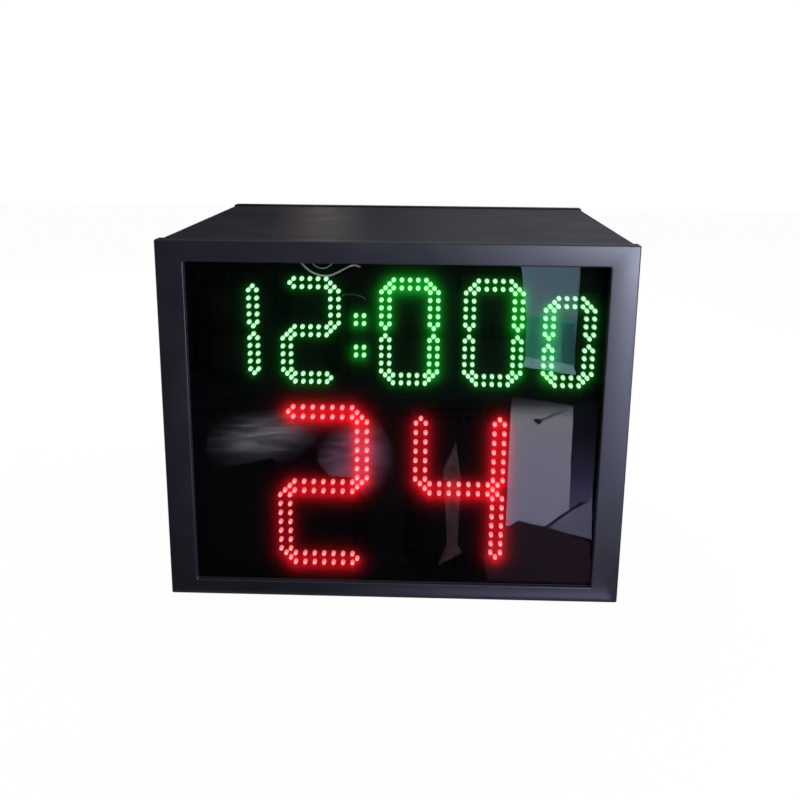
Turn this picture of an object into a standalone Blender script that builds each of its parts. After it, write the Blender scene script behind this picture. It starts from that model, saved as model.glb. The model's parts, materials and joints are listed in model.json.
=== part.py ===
"""LED shot clock with a game clock row over it, in a deep sheet-steel cabinet.

Metres, +Z up. The display faces -Y and the service door is at +Y. The origin is at the middle of the
cabinet's base, on the surface that the clock stands on.
"""

import math
from typing import NamedTuple

import bmesh
import bpy
from mathutils import Matrix, Vector

# Cabinet
OVERALL_WIDTH = 0.594
OVERALL_HEIGHT = 0.472
OVERALL_DEPTH = 0.560
FRAME_SHEET = 0.0015
SHELL_SHEET = 0.0012
FRAME_LAP = 0.022
FRAME_FOLD = 0.002
FRAME_CORNER = 0.002
SHELL_FOLD = 0.002
TRAY_FLANGE = 0.020
TRAY_JOGGLE = 0.003
CLEARANCE = 0.0003

# Window and its tinted panel
WINDOW_SIDE_BORDER = 0.035
WINDOW_TOP_BORDER = 0.027
WINDOW_BOTTOM_BORDER = 0.021
WINDOW_CORNER = 0.003
WINDOW_RETURN = 0.006
PANEL_THICKNESS = 0.003
PANEL_OVERLAP = 0.006
PANEL_SEAL_THICKNESS = 0.0012
PANEL_SEAL_WIDTH = 0.004
CLAMP_SHEET = 0.0012
CLAMP_FOOT = 0.005
CLAMP_LEG = 0.004

# Lamps and display boards
LAMP_RADIUS = 0.0025
LAMP_HEIGHT = 0.0086
LAMP_DOME = 0.0024
LAMP_SIDES = 4
UPRIGHT_OFFSET = 1.5
LAMP_TO_PANEL = 0.002
BOARD_THICKNESS = 0.0016
BOARD_MARGIN = 0.007
SHOT_PITCH = 0.0127
SHOT_LAMPS = 7
SHOT_GAP = 0.0634
SHOT_SHIFT = -0.0047
CLOCK_PITCH = 0.01016
CLOCK_LAMPS = 5
TENTHS_LAMPS = 4
MINUTES_GAP = 0.0319
COLON_GAP = 0.0539
SECONDS_GAP = 0.0345
TENTHS_GAP = 0.0289
CLOCK_SHIFT = 0.001
ROW_GAP = 0.0341
ROWS_SHIFT = -0.0026
COLON_LOWER_ROW = 3.5
COLON_UPPER_ROW = 7.5
PLATE_SHEET = 0.0015
PLATE_FLANGE = 0.015
RIB_HEIGHT = 0.005
RIB_WIDTH = 0.010
RIB_SLOPE = 0.004

# Rear frame, service door and its seal
REAR_SIDE_RIM = 0.030
REAR_TOP_RIM = 0.030
CONNECTOR_STRIP = 0.078
RECESS_CORNER = 0.003
DOOR_SHEET = 0.0015
DOOR_GAP = 0.001
DOOR_SEAL = 0.002
DOOR_SEAL_WIDTH = 0.006
LEDGE = 0.010
LEDGE_LIP = 0.009
STIFFENER_INSET = 0.050
STIFFENER_WIDTH = 0.020
STIFFENER_DEPTH = 0.012
STIFFENER_END = 0.030
LOUVRE_COUNT = 6
LOUVRE_LENGTH = 0.200
LOUVRE_PITCH = 0.018
LOUVRE_RISE = 0.012
LOUVRE_DEPTH = 0.006
LOUVRE_WALL_DROP = 0.0024
LOUVRE_TAPER = 0.006
LOUVRE_MARGIN = 0.034

# Hinges
KNUCKLE_RADIUS = 0.0035
PIN_RADIUS = 0.00165
PIN_HEAD_RADIUS = 0.0030
PIN_HEAD = 0.0015
PIN_TAIL = 0.0010
BORE_CLEARANCE = 0.0004
HINGE_HEIGHT = 0.060
HINGE_INSET = 0.070
LEAF_WIDTH = 0.022
LEAF_SHEET = 0.0015
LEAF_ROOT = 0.0010
KNUCKLE_SIDES = 10

# Cam locks
LOCK_INSET = 0.024
LOCK_END_INSET = 0.080
LOCK_FLANGE_RADIUS = 0.011
LOCK_FLANGE = 0.0025
LOCK_BARREL_RADIUS = 0.008
LOCK_PLUG_RADIUS = 0.0049
LOCK_PLUG_PROUD = 0.0008
LOCK_NUT_RADIUS = 0.0115
LOCK_NUT = 0.004
LOCK_SIDES = 12
KEYWAY_WIDTH = 0.0016
KEYWAY_HEIGHT = 0.0062
KEYWAY_DEPTH = 0.003
CAM_WIDTH = 0.014
CAM_LENGTH = 0.030
CAM_SHEET = 0.002
CAM_RUN = 0.0005
CAM_SCREW_RADIUS = 0.0042
CAM_SCREW = 0.0022

# Mains inlet, on the connector strip
INLET_INSET = 0.082
CONNECTOR_HEIGHT = 0.040
INLET_FLANGE_WIDTH = 0.050
INLET_FLANGE_HEIGHT = 0.026
INLET_FLANGE = 0.003
INLET_BODY_WIDTH = 0.0280
INLET_BODY_HEIGHT = 0.0210
INLET_BODY_DEPTH = 0.021
INLET_WALL = 0.0018
INLET_FLOOR = 0.003
INLET_TAB = 0.003
INLET_PIN_LENGTH = 0.014
INLET_PIN_SPACING = 0.007
INLET_PIN_WIDTH = 0.002
INLET_PIN_HEIGHT = 0.004
INLET_PIN_RISE = 0.0035

# Power switch, on the connector strip
SWITCH_INSET = 0.132
SWITCH_BEZEL_WIDTH = 0.015
SWITCH_BEZEL_HEIGHT = 0.021
SWITCH_BEZEL = 0.002
SWITCH_BODY_WIDTH = 0.013
SWITCH_BODY_HEIGHT = 0.019
SWITCH_BODY_DEPTH = 0.014
SWITCH_WALL = 0.0012
SWITCH_WELL_DEPTH = 0.009
SWITCH_TAB = 0.006
SWITCH_TAB_HEIGHT = 0.004
SWITCH_TAB_THICKNESS = 0.0012
ROCKER_GAP = 0.0004
ROCKER_THROW = 24.0
ROCKER_MIDDLE = 0.0020
ROCKER_END_ANGLE = 28.0
ROCKER_BACK_ANGLE = -20.0
ROCKER_BACK_WIDTH = 0.006
ROCKER_BACK_DEPTH = 0.005

# Control socket, on the connector strip
SOCKET_INSET = 0.082
SOCKET_RADIUS = 0.008
SOCKET_WALL = 0.0014
SOCKET_PROUD = 0.0065
SOCKET_WELL_DEPTH = 0.0095
SOCKET_BODY_DEPTH = 0.014
SOCKET_FLANGE_RADIUS = 0.0098
SOCKET_FLANGE = 0.002
SOCKET_NUT_RADIUS = 0.0115
SOCKET_NUT = 0.003
SOCKET_PINS = 5
SOCKET_PIN_SIDES = 5
SOCKET_PIN_RADIUS = 0.0007
SOCKET_PIN_CIRCLE = 0.0042
SOCKET_PIN_LENGTH = 0.007
SOCKET_PIN_ROOT = 0.0014

# Power supply, on the base tray
SUPPLY_INSET = 0.082
SUPPLY_TO_RIM = 0.2127
SUPPLY_WIDTH = 0.115
SUPPLY_LENGTH = 0.215
SUPPLY_HEIGHT = 0.050
SUPPLY_LEDGE = 0.018
SUPPLY_LEDGE_HEIGHT = 0.022
TERMINAL_COUNT = 9
TERMINAL_PITCH = 0.0095
TERMINAL_HEIGHT = 0.014
TERMINAL_WELL = 0.006
TERMINAL_WALL = 0.0015

# Controller board and driver board. Each chip is (x, y, width, depth, height) on its board.
CONTROLLER_TO_SUPPLY = 0.0165
CONTROLLER_AHEAD = 0.020
CONTROLLER_WIDTH = 0.170
CONTROLLER_DEPTH = 0.120
STANDOFF_HEIGHT = 0.010
STANDOFF_SIDE = 0.007
STANDOFF_INSET = 0.008
HEADER_DEPTH = 0.009
HEADER_HEIGHT = 0.012
HEADER_LINE = -0.040
RIBBON_HEADER_X = -0.030
RIBBON_HEADER_WIDTH = 0.060
SIGNAL_HEADER_X = 0.054
SIGNAL_HEADER_WIDTH = 0.030
RELAY_SIDE = 0.019
RELAY_HEIGHT = 0.015
RELAY_LINE = 0.030
CONTROLLER_CHIPS = (
    (-0.052, 0.020, 0.018, 0.018, 0.004),
    (0.010, 0.030, 0.044, 0.014, 0.009),
    (0.000, -0.006, 0.024, 0.012, 0.003),
)
DRIVER_DROP = 0.032
DRIVER_WIDTH = 0.130
DRIVER_HEIGHT = 0.050
DRIVER_STANDOFF = 0.005
DRIVER_POST_INSET = 0.004
DRIVER_POST_SIDE = 0.0035
DRIVER_HEADER = 0.005
RIBBON_SOCKET_RISE = -0.0115
RIBBON_SOCKET_HALF = 0.0045
RIBBON_SOCKET_SPAN = 0.0156
POWER_SOCKET_X = -0.035
POWER_SOCKET_RISE = 0.007
POWER_SOCKET_HALF = 0.005
POWER_SOCKET_SPAN = 0.015

# Siren
SIREN_INSET = 0.157
SIREN_TO_RIM = 0.0677
SIREN_Z = 0.070
SIREN_RADIUS = 0.036
SIREN_FLANGE_RADIUS = 0.042
SIREN_FLANGE = 0.004
SIREN_DEPTH = 0.040
SIREN_BOSS_RADIUS = 0.012
SIREN_BOSS = 0.004
SIREN_SIDES = 16
BRACKET_SHEET = 0.0015
BRACKET_WIDTH = 0.040
BRACKET_FOOT = 0.045
BRACKET_ABOVE = 0.016

# Wires
LOOP_WIRE_RADIUS = 0.0011
THIN_WIRE_RADIUS = 0.0006
COLON_LEAD_RADIUS = 0.0008
MAINS_LEAD_RADIUS = 0.0028
DISPLAY_LEAD_RADIUS = 0.0020
SOCKET_LEAD_RADIUS = 0.0018
SIREN_LEAD_RADIUS = 0.0016
WIRE_SPACING = 0.0045
LEAD_SPACING = 0.020
WIRE_HOLE_RADIUS = 0.0026
RIBBON_WIDTH = 0.026
RIBBON_THICKNESS = 0.001
RIBBON_FOLD = 0.006
RIBBON_BEND = 0.020
RIBBON_LEAVES_PLATE = 0.140
RIBBON_OVER_HEADER = 0.055
LEAD_STANDOFF = 0.012
LEAD_END = 0.012
LEAD_BEND = 0.060
PLUG_END = 0.014

# Routes of the wires behind the panel. The loops hang in the room over the clock row: each point is
# (right of the driver board's middle, share of the room's height down from the top, behind the front).
# The colon lead's points are (right of the colon's middle, above the row's middle, behind the front).
LOOP_WIRE_ROUTE = (
    (-0.0450, 0.38, 0.0344),
    (-0.0450, 0.38, 0.0275),
    (-0.0425, 0.42, 0.0205),
    (-0.0360, 0.55, 0.0165),
    (-0.0300, 0.68, 0.0155),
    (-0.0238, 0.82, 0.0155),
    (-0.0164, 0.92, 0.0155),
    (-0.0052, 0.99, 0.0155),
    (0.0035, 0.98, 0.0155),
    (0.0123, 0.90, 0.0155),
    (0.0223, 0.78, 0.0160),
    (0.0298, 0.70, 0.0170),
    (0.0356, 0.69, 0.0200),
    (0.0396, 0.75, 0.0245),
    (0.0400, 0.77, 0.0275),
    (0.0400, 0.77, 0.0344),
)
THIN_WIRE_ROUTE = (
    (-0.0300, 0.31, 0.0344),
    (-0.0300, 0.31, 0.0275),
    (-0.0265, 0.41, 0.0205),
    (-0.0210, 0.59, 0.0185),
    (-0.0140, 0.74, 0.0185),
    (-0.0060, 0.80, 0.0185),
    (0.0020, 0.74, 0.0185),
    (0.0090, 0.59, 0.0185),
    (0.0145, 0.41, 0.0205),
    (0.0180, 0.31, 0.0275),
    (0.0180, 0.31, 0.0344),
)
COLON_LEAD_ROUTE = (
    (-0.0220, 0.0445, 0.0210),
    (-0.0215, 0.0459, 0.0186),
    (-0.0178, 0.0473, 0.0166),
    (-0.0124, 0.0477, 0.0160),
    (-0.0049, 0.0470, 0.0160),
    (0.0014, 0.0453, 0.0166),
    (0.0058, 0.0423, 0.0186),
    (0.0066, 0.0411, 0.0210),
)

CORNER_STEPS = 2
SEGMENTS_OF = {"0": "abcdef", "1": "bc", "2": "abdeg", "4": "bcfg"}
CLOCK_DIGITS = (
    ("clock_digit_minutes_tens", "1", CLOCK_LAMPS),
    ("clock_digit_minutes_units", "2", CLOCK_LAMPS),
    ("clock_digit_seconds_tens", "0", CLOCK_LAMPS),
    ("clock_digit_seconds_units", "0", CLOCK_LAMPS),
    ("clock_digit_tenths", "0", TENTHS_LAMPS),
)


class Rect(NamedTuple):
    """An upright rectangle across the cabinet, seen from the front."""

    left: float
    right: float
    bottom: float
    top: float

    def inset(self, by):
        """The rectangle with every side moved inwards."""
        return Rect(self.left + by, self.right - by, self.bottom + by, self.top - by)


def digit_height(count, pitch):
    """From the bottom row of a digit's lamps to its top row: two uprights and three rows between them."""
    return (2 * count + 3) * pitch


# Planes from the front to the back
FRONT = -OVERALL_DEPTH / 2
RETURN_END = FRONT + WINDOW_RETURN
SEAL_FRONT = RETURN_END + CLEARANCE
PANEL_FRONT = SEAL_FRONT + PANEL_SEAL_THICKNESS + CLEARANCE
PANEL_BACK = PANEL_FRONT + PANEL_THICKNESS
BOARD_FRONT = PANEL_BACK + LAMP_TO_PANEL + LAMP_HEIGHT
PLATE_FRONT = BOARD_FRONT + BOARD_THICKNESS + CLEARANCE + RIB_HEIGHT
PLATE_BACK = PLATE_FRONT + PLATE_SHEET
DRIVER_FRONT = PLATE_BACK + CLEARANCE
DRIVER_BACK = DRIVER_FRONT + DRIVER_STANDOFF + BOARD_THICKNESS + DRIVER_HEADER
RIM = OVERALL_DEPTH / 2 - CLEARANCE - 2 * KNUCKLE_RADIUS
RECESS_DEPTH = DOOR_SHEET + DOOR_SEAL
DOOR_INNER = RIM - DOOR_SHEET
LIP_END = RIM - RECESS_DEPTH - LEDGE_LIP

# Rectangles and levels across the cabinet
CABINET = Rect(-OVERALL_WIDTH / 2, OVERALL_WIDTH / 2, 0.0, OVERALL_HEIGHT)
WINDOW = Rect(
    CABINET.left + WINDOW_SIDE_BORDER,
    CABINET.right - WINDOW_SIDE_BORDER,
    WINDOW_BOTTOM_BORDER,
    OVERALL_HEIGHT - WINDOW_TOP_BORDER,
)
PANEL = WINDOW.inset(-PANEL_OVERLAP)
RECESS = Rect(
    CABINET.left + REAR_SIDE_RIM,
    CABINET.right - REAR_SIDE_RIM,
    CONNECTOR_STRIP,
    OVERALL_HEIGHT - REAR_TOP_RIM,
)
DOOR = RECESS.inset(DOOR_GAP)
SHELL_OUTER = CABINET.inset(FRAME_SHEET + CLEARANCE)
SHELL_INNER = SHELL_OUTER.inset(SHELL_SHEET)
TRAY_OUTER = SHELL_INNER.inset(CLEARANCE)
TRAY_INNER = TRAY_OUTER.inset(SHELL_SHEET)
FLOOR = SHELL_SHEET + CLEARANCE
SHOT_HEIGHT = digit_height(SHOT_LAMPS, SHOT_PITCH)
CLOCK_HEIGHT = digit_height(CLOCK_LAMPS, CLOCK_PITCH)
SHOT_BASELINE = (FLOOR + SHELL_INNER.top - SHOT_HEIGHT - ROW_GAP - CLOCK_HEIGHT) / 2 + ROWS_SHIFT
CLOCK_BASELINE = SHOT_BASELINE + SHOT_HEIGHT + ROW_GAP
CLOCK_TOP = CLOCK_BASELINE + CLOCK_HEIGHT
DRIVER_MIDDLE = OVERALL_HEIGHT - DRIVER_DROP
TENTHS_HEIGHT = digit_height(TENTHS_LAMPS, CLOCK_PITCH)

# Axes of what turns
HINGE_X = RECESS.right - DOOR_GAP / 2
HINGE_Y = RIM + CLEARANCE + KNUCKLE_RADIUS
LOCK_X = DOOR.left + LOCK_INSET
CAM_FRONT = LIP_END - CAM_RUN

# Places of the fittings
INLET_X = CABINET.left + INLET_INSET
SWITCH_X = CABINET.left + SWITCH_INSET
SOCKET_X = CABINET.right - SOCKET_INSET
SUPPLY_X = CABINET.left + SUPPLY_INSET
SUPPLY_Y = RIM - SUPPLY_TO_RIM
CONTROLLER_X = SUPPLY_X + SUPPLY_WIDTH / 2 + CONTROLLER_TO_SUPPLY + CONTROLLER_WIDTH / 2
CONTROLLER_Y = SUPPLY_Y - CONTROLLER_AHEAD
DRIVER_X = CONTROLLER_X + RIBBON_HEADER_X
SIREN_X = CABINET.right - SIREN_INSET
SIREN_Y = RIM - SIREN_TO_RIM


def clear_scene():
    """Removes every object of the scene that Blender starts with."""
    for existing in list(bpy.data.objects):
        bpy.data.objects.remove(existing, do_unlink=True)


def finish(name, colour, roughness, metallic=0.0):
    """A plain material with the colour and gloss of the real surface."""
    material = bpy.data.materials.get(name)
    if material is None:
        material = bpy.data.materials.new(name)
        material.use_nodes = True
        shader = material.node_tree.nodes["Principled BSDF"]
        shader.inputs["Base Color"].default_value = (*colour, 1.0)
        shader.inputs["Roughness"].default_value = roughness
        shader.inputs["Metallic"].default_value = metallic
    return material


def powder_coat():
    """Black powder coat on the cabinet's steel."""
    return finish("black_powder_coat", (0.030, 0.032, 0.038), 0.55)


def bare_steel():
    """Zinc-plated steel of the hidden fittings."""
    return finish("zinc_plated_steel", (0.55, 0.56, 0.58), 0.35, 1.0)


def chromed_brass():
    """Polished plating of the locks and sockets."""
    return finish("chromed_metal", (0.70, 0.71, 0.73), 0.18, 1.0)


def black_plastic():
    """Moulded black plastic."""
    return finish("black_plastic", (0.020, 0.020, 0.022), 0.42)


def black_rubber():
    """Foamed rubber of the seals."""
    return finish("black_rubber", (0.018, 0.018, 0.018), 0.85)


def circuit_board():
    """Green solder mask on glass fibre."""
    return finish("circuit_board", (0.02, 0.12, 0.05), 0.45)


def new_object(name, data, at, parent):
    """Links an object at a world place, under a parent empty if it has one."""
    thing = bpy.data.objects.new(name, data)
    bpy.context.scene.collection.objects.link(thing)
    place = Vector(at)
    if parent is not None:
        thing.parent = parent
        place -= parent.location
    thing.location = place
    return thing


def solid(name, shape, material, at=(0.0, 0.0, 0.0), parent=None):
    """Makes a named piece of a bmesh that is drawn round the place where it goes."""
    bmesh.ops.recalc_face_normals(shape, faces=shape.faces)
    mesh = bpy.data.meshes.new(name)
    shape.to_mesh(mesh)
    shape.free()
    if parent is not None:
        origin = Vector(at)
        mesh.transform(Matrix.Translation(origin - parent.location))
        at = tuple(parent.location)
    mesh.materials.append(material)
    return new_object(name, mesh, at, parent)


def helper(name, shape, at=(0.0, 0.0, 0.0)):
    """Makes a hidden shape that a Boolean joins or cuts away."""
    bmesh.ops.recalc_face_normals(shape, faces=shape.faces)
    mesh = bpy.data.meshes.new(name)
    shape.to_mesh(mesh)
    shape.free()
    tool = new_object(name, mesh, at, None)
    tool.hide_render = True
    tool.display_type = "WIRE"
    return tool


def combine(piece, tool, operation):
    """Joins the tool to the piece, or cuts it away."""
    step = piece.modifiers.new(tool.name, "BOOLEAN")
    step.operation = operation
    step.object = tool
    step.solver = "EXACT"


def joined(*shapes):
    """One bmesh that holds several separate ones."""
    whole = bmesh.new()
    for shape in shapes:
        mesh = bpy.data.meshes.new("scratch")
        shape.to_mesh(mesh)
        shape.free()
        whole.from_mesh(mesh)
        bpy.data.meshes.remove(mesh)
    return whole


def place_on(axis, u, v, along):
    """The point (u, v) of an outline that runs along an axis."""
    if axis == "X":
        return (along, u, v)
    if axis == "Y":
        return (u, along, v)
    return (u, v, along)


def loft(stations, axis):
    """A solid through several outlines along an axis, each given with its place on the axis."""
    shape = bmesh.new()
    loops = []
    for outline, along in stations:
        loops.append([shape.verts.new(place_on(axis, u, v, along)) for u, v in outline])
    shape.faces.new(loops[0])
    shape.faces.new(list(reversed(loops[-1])))
    for near, far in zip(loops, loops[1:]):
        for index in range(len(near)):
            after = (index + 1) % len(near)
            shape.faces.new((near[after], near[index], far[index], far[after]))
    return shape


def prism(outline, axis, start, end):
    """A solid with one outline all along an axis; the outline is (y, z), (x, z) or (x, y)."""
    return loft(((outline, start), (outline, end)), axis)


def block(low, high):
    """A rectangular solid between two corners."""
    outline = ((low[0], low[1]), (high[0], low[1]), (high[0], high[1]), (low[0], high[1]))
    return prism(outline, "Z", low[2], high[2])


def turned(profile, axis, sides, centre=(0.0, 0.0), bored=False, phase=0.0):
    """A turned solid: the profile is (distance along the axis, radius), and a bored one closes on itself."""
    shape = bmesh.new()
    rings = []
    for along, radius in profile:
        steps = sides if radius > 0.0 else 1
        ring = []
        for step in range(steps):
            angle = 2.0 * math.pi * (step + phase) / sides
            u = centre[0] + radius * math.cos(angle)
            v = centre[1] + radius * math.sin(angle)
            ring.append(shape.verts.new(place_on(axis, u, v, along)))
        rings.append(ring)
    pairs = list(zip(rings, rings[1:]))
    if bored:
        pairs.append((rings[-1], rings[0]))
    else:
        for ring in (rings[0], rings[-1]):
            if len(ring) > 1:
                shape.faces.new(ring)
    for ring, following in pairs:
        for step in range(sides):
            after = (step + 1) % sides
            corners = [ring[step % len(ring)], ring[after % len(ring)]]
            corners += [following[after % len(following)], following[step % len(following)]]
            shape.faces.new(list(dict.fromkeys(corners)))
    return shape


def rounded_loop(rect, radius, y):
    """Points round a rectangle with rounded corners, at one depth."""
    points = []
    corners = (
        (rect.right - radius, rect.top - radius),
        (rect.left + radius, rect.top - radius),
        (rect.left + radius, rect.bottom + radius),
        (rect.right - radius, rect.bottom + radius),
    )
    for quarter, (x, z) in enumerate(corners):
        for step in range(CORNER_STEPS + 1):
            angle = math.pi / 2 * (quarter + step / CORNER_STEPS)
            points.append((x + radius * math.cos(angle), y, z + radius * math.sin(angle)))
    return points


def ring(sections):
    """A closed frame through rounded rectangles, each given as (rectangle, corner radius, y)."""
    shape = bmesh.new()
    loops = [[shape.verts.new(point) for point in rounded_loop(*section)] for section in sections]
    for index, loop in enumerate(loops):
        following = loops[(index + 1) % len(loops)]
        for step in range(len(loop)):
            after = (step + 1) % len(loop)
            shape.faces.new((loop[step], loop[after], following[after], following[step]))
    return shape


def plate(rect, radius, front, back):
    """A flat sheet with rounded corners."""
    shape = bmesh.new()
    near = [shape.verts.new(point) for point in rounded_loop(rect, radius, front)]
    far = [shape.verts.new(point) for point in rounded_loop(rect, radius, back)]
    shape.faces.new(near)
    shape.faces.new(list(reversed(far)))
    for step in range(len(near)):
        after = (step + 1) % len(near)
        shape.faces.new((near[after], near[step], far[step], far[after]))
    return shape


def filleted(path, radius):
    """A path with each of its inner corners rounded."""
    rounded = [path[0]]
    for before, corner, after in zip(path, path[1:], path[2:]):
        corner = Vector(corner)
        back = (Vector(before) - corner).normalized()
        on = (Vector(after) - corner).normalized()
        half = back.angle(on) / 2
        start = corner + back * radius / math.tan(half)
        end = corner + on * radius / math.tan(half)
        centre = corner + (back + on).normalized() * radius / math.sin(half)
        for step in range(CORNER_STEPS + 1):
            spoke = (start - centre).slerp(end - centre, step / CORNER_STEPS)
            rounded.append(tuple(centre + spoke.normalized() * radius))
    rounded.append(path[-1])
    return rounded


def folded_sheet(path, thickness):
    """Outline of a sheet that follows a path; a positive thickness lies to the left of the path."""
    points = [Vector(point) for point in path]
    normals = []
    for start, end in zip(points, points[1:]):
        along = (end - start).normalized()
        normals.append(Vector((-along.y, along.x)))
    normals = [normals[0], *normals, normals[-1]]
    moved = []
    for point, before, after in zip(points, normals, normals[1:]):
        moved.append(point + (before + after) * thickness / (1.0 + before.dot(after)))
    return [tuple(point) for point in points + list(reversed(moved))]


def smooth_route(points, spacing):
    """A straight first and last leg, and points at an even spacing on a smooth curve between them."""
    chosen = [Vector(point) for point in points]
    fine = []
    for p0, p1, p2, p3 in zip(chosen, chosen[1:], chosen[2:], chosen[3:]):
        for step in range(16):
            t = step / 16
            a = 2 * p1 + (p2 - p0) * t
            b = (2 * p0 - 5 * p1 + 4 * p2 - p3) * t * t
            c = (3 * p1 - p0 - 3 * p2 + p3) * t * t * t
            fine.append((a + b + c) / 2)
    fine.append(chosen[-2])
    lengths = [(b - a).length for a, b in zip(fine, fine[1:])]
    count = max(2, round(sum(lengths) / spacing))
    step = sum(lengths) / count
    route = [fine[0]]
    travelled = 0.0
    for a, b, length in zip(fine, fine[1:], lengths):
        while len(route) < count and travelled + length >= step * len(route):
            route.append(a.lerp(b, (step * len(route) - travelled) / length))
        travelled += length
    return [chosen[0], *route, chosen[-2], chosen[-1]]


def wire(name, points, radius, material, spacing):
    """A round wire or lead along a smooth route, with closed ends."""
    route = smooth_route(points, spacing)
    curve = bpy.data.curves.new(name, "CURVE")
    curve.dimensions = "3D"
    curve.bevel_depth = radius
    curve.bevel_resolution = 1
    curve.use_fill_caps = True
    spline = curve.splines.new("POLY")
    spline.points.add(len(route) - 1)
    for point, place in zip(spline.points, route):
        point.co = (*place, 1.0)
    curve.materials.append(material)
    return new_object(name, curve, (0.0, 0.0, 0.0), None)


def pivot(name, at):
    """An empty on a joint's axis, which carries the pieces that turn about it."""
    empty = bpy.data.objects.new(name, None)
    bpy.context.scene.collection.objects.link(empty)
    empty.location = at
    return empty


def build_front_frame():
    """The folded frame round the window, which laps over the shell."""
    back = FRONT + FRAME_LAP
    fold = FRAME_FOLD
    eased = fold * (1.0 - math.sqrt(0.5))
    sections = [
        (CABINET, FRAME_CORNER, back),
        (CABINET, FRAME_CORNER, FRONT + fold),
        (CABINET.inset(eased), FRAME_CORNER, FRONT + eased),
        (CABINET.inset(fold), FRAME_CORNER, FRONT),
        (WINDOW.inset(-fold), WINDOW_CORNER + fold, FRONT),
        (WINDOW.inset(-eased), WINDOW_CORNER + eased, FRONT + eased),
        (WINDOW, WINDOW_CORNER, FRONT + fold),
        (WINDOW, WINDOW_CORNER, RETURN_END),
        (WINDOW.inset(-FRAME_SHEET), WINDOW_CORNER + FRAME_SHEET, RETURN_END),
        (WINDOW.inset(-FRAME_SHEET), WINDOW_CORNER + FRAME_SHEET, FRONT + FRAME_SHEET),
        (CABINET.inset(FRAME_SHEET), FRAME_CORNER, FRONT + FRAME_SHEET),
        (CABINET.inset(FRAME_SHEET), FRAME_CORNER, back),
    ]
    solid("front_frame", ring(sections), powder_coat())


def build_shell():
    """The wrapped top and sides, and the tray that is the floor between the two frames."""
    front = FRONT + FRAME_SHEET + CLEARANCE
    back = RIM - FRAME_SHEET - CLEARANCE
    hem = SHELL_OUTER.bottom + FRAME_CORNER
    wrap = (
        (SHELL_OUTER.left, hem),
        (SHELL_OUTER.left, SHELL_OUTER.top),
        (SHELL_OUTER.right, SHELL_OUTER.top),
        (SHELL_OUTER.right, hem),
    )
    outline = folded_sheet(filleted(wrap, SHELL_FOLD), -SHELL_SHEET)
    solid("outer_shell", prism(outline, "Y", front, back), powder_coat())
    step = FRAME_SHEET + CLEARANCE
    stations = (
        (tray_section(step), front),
        (tray_section(step), FRONT + FRAME_LAP),
        (tray_section(0.0), FRONT + FRAME_LAP + TRAY_JOGGLE),
        (tray_section(0.0), RIM - FRAME_LAP - TRAY_JOGGLE),
        (tray_section(step), RIM - FRAME_LAP),
        (tray_section(step), back),
    )
    solid("base_tray", loft(stations, "Y"), powder_coat())


def tray_section(base):
    """The tray's section: a floor at this height, and a flange up each side."""
    bend = (
        (TRAY_OUTER.left, TRAY_FLANGE),
        (TRAY_OUTER.left, base),
        (TRAY_OUTER.right, base),
        (TRAY_OUTER.right, TRAY_FLANGE),
    )
    return folded_sheet(filleted(bend, SHELL_FOLD), SHELL_SHEET)


def build_window():
    """The tinted panel, its seal against the frame, and the strips that clamp it from behind."""
    tinted = finish("tinted_acrylic", (0.012, 0.012, 0.015), 0.06)
    solid("front_panel", plate(PANEL, WINDOW_CORNER, PANEL_FRONT, PANEL_BACK), tinted)
    seal_outer = WINDOW.inset(-PANEL_SEAL_WIDTH)
    sections = [
        (seal_outer, WINDOW_CORNER, SEAL_FRONT),
        (WINDOW, WINDOW_CORNER, SEAL_FRONT),
        (WINDOW, WINDOW_CORNER, SEAL_FRONT + PANEL_SEAL_THICKNESS),
        (seal_outer, WINDOW_CORNER, SEAL_FRONT + PANEL_SEAL_THICKNESS),
    ]
    solid("panel_seal", ring(sections), black_rubber())

    foot_plane = FRONT + FRAME_SHEET + CLEARANCE
    leg_plane = PANEL_BACK + CLEARANCE
    path = (
        (CLEARANCE + CLAMP_SHEET + CLAMP_FOOT, foot_plane),
        (CLEARANCE, foot_plane),
        (CLEARANCE, leg_plane),
        (-CLAMP_LEG, leg_plane),
    )
    outline = folded_sheet(path, -CLAMP_SHEET)
    span = (PANEL.left + PANEL_OVERLAP, PANEL.right - PANEL_OVERLAP)
    rise = (PANEL.bottom + PANEL_OVERLAP, PANEL.top - PANEL_OVERLAP)
    top = [(y, PANEL.top + out) for out, y in outline]
    bottom = [(y, PANEL.bottom - out) for out, y in outline]
    right = [(PANEL.right + out, y) for out, y in outline]
    left = [(PANEL.left - out, y) for out, y in outline]
    solid("panel_clamp_top", prism(top, "X", *span), bare_steel())
    solid("panel_clamp_bottom", prism(bottom, "X", *span), bare_steel())
    solid("panel_clamp_right", prism(right, "Z", *rise), bare_steel())
    solid("panel_clamp_left", prism(left, "Z", *rise), bare_steel())


def segment_lamps(count):
    """Places of each segment's lamps in pitches: u from the first lamp of a row, v up from the bottom row."""

    def level(v):
        rows = [(u, v + row) for row in (0, 1) for u in range(count)]
        return rows + [(-0.5, v + 0.5), (count - 0.5, v + 0.5)]

    def upright(u, v):
        columns = [(u + column, v + step) for column in (0, 1) for step in range(count)]
        return columns + [(u + 0.5, v - 0.5), (u + 0.5, v + count - 0.5)]

    return {
        "a": level(2 * count + 2),
        "b": upright(count - 0.5, count + 1 + UPRIGHT_OFFSET),
        "c": upright(count - 0.5, UPRIGHT_OFFSET),
        "d": level(0),
        "e": upright(-UPRIGHT_OFFSET, UPRIGHT_OFFSET),
        "f": upright(-UPRIGHT_OFFSET, count + 1 + UPRIGHT_OFFSET),
        "g": level(count + 1),
    }


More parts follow.
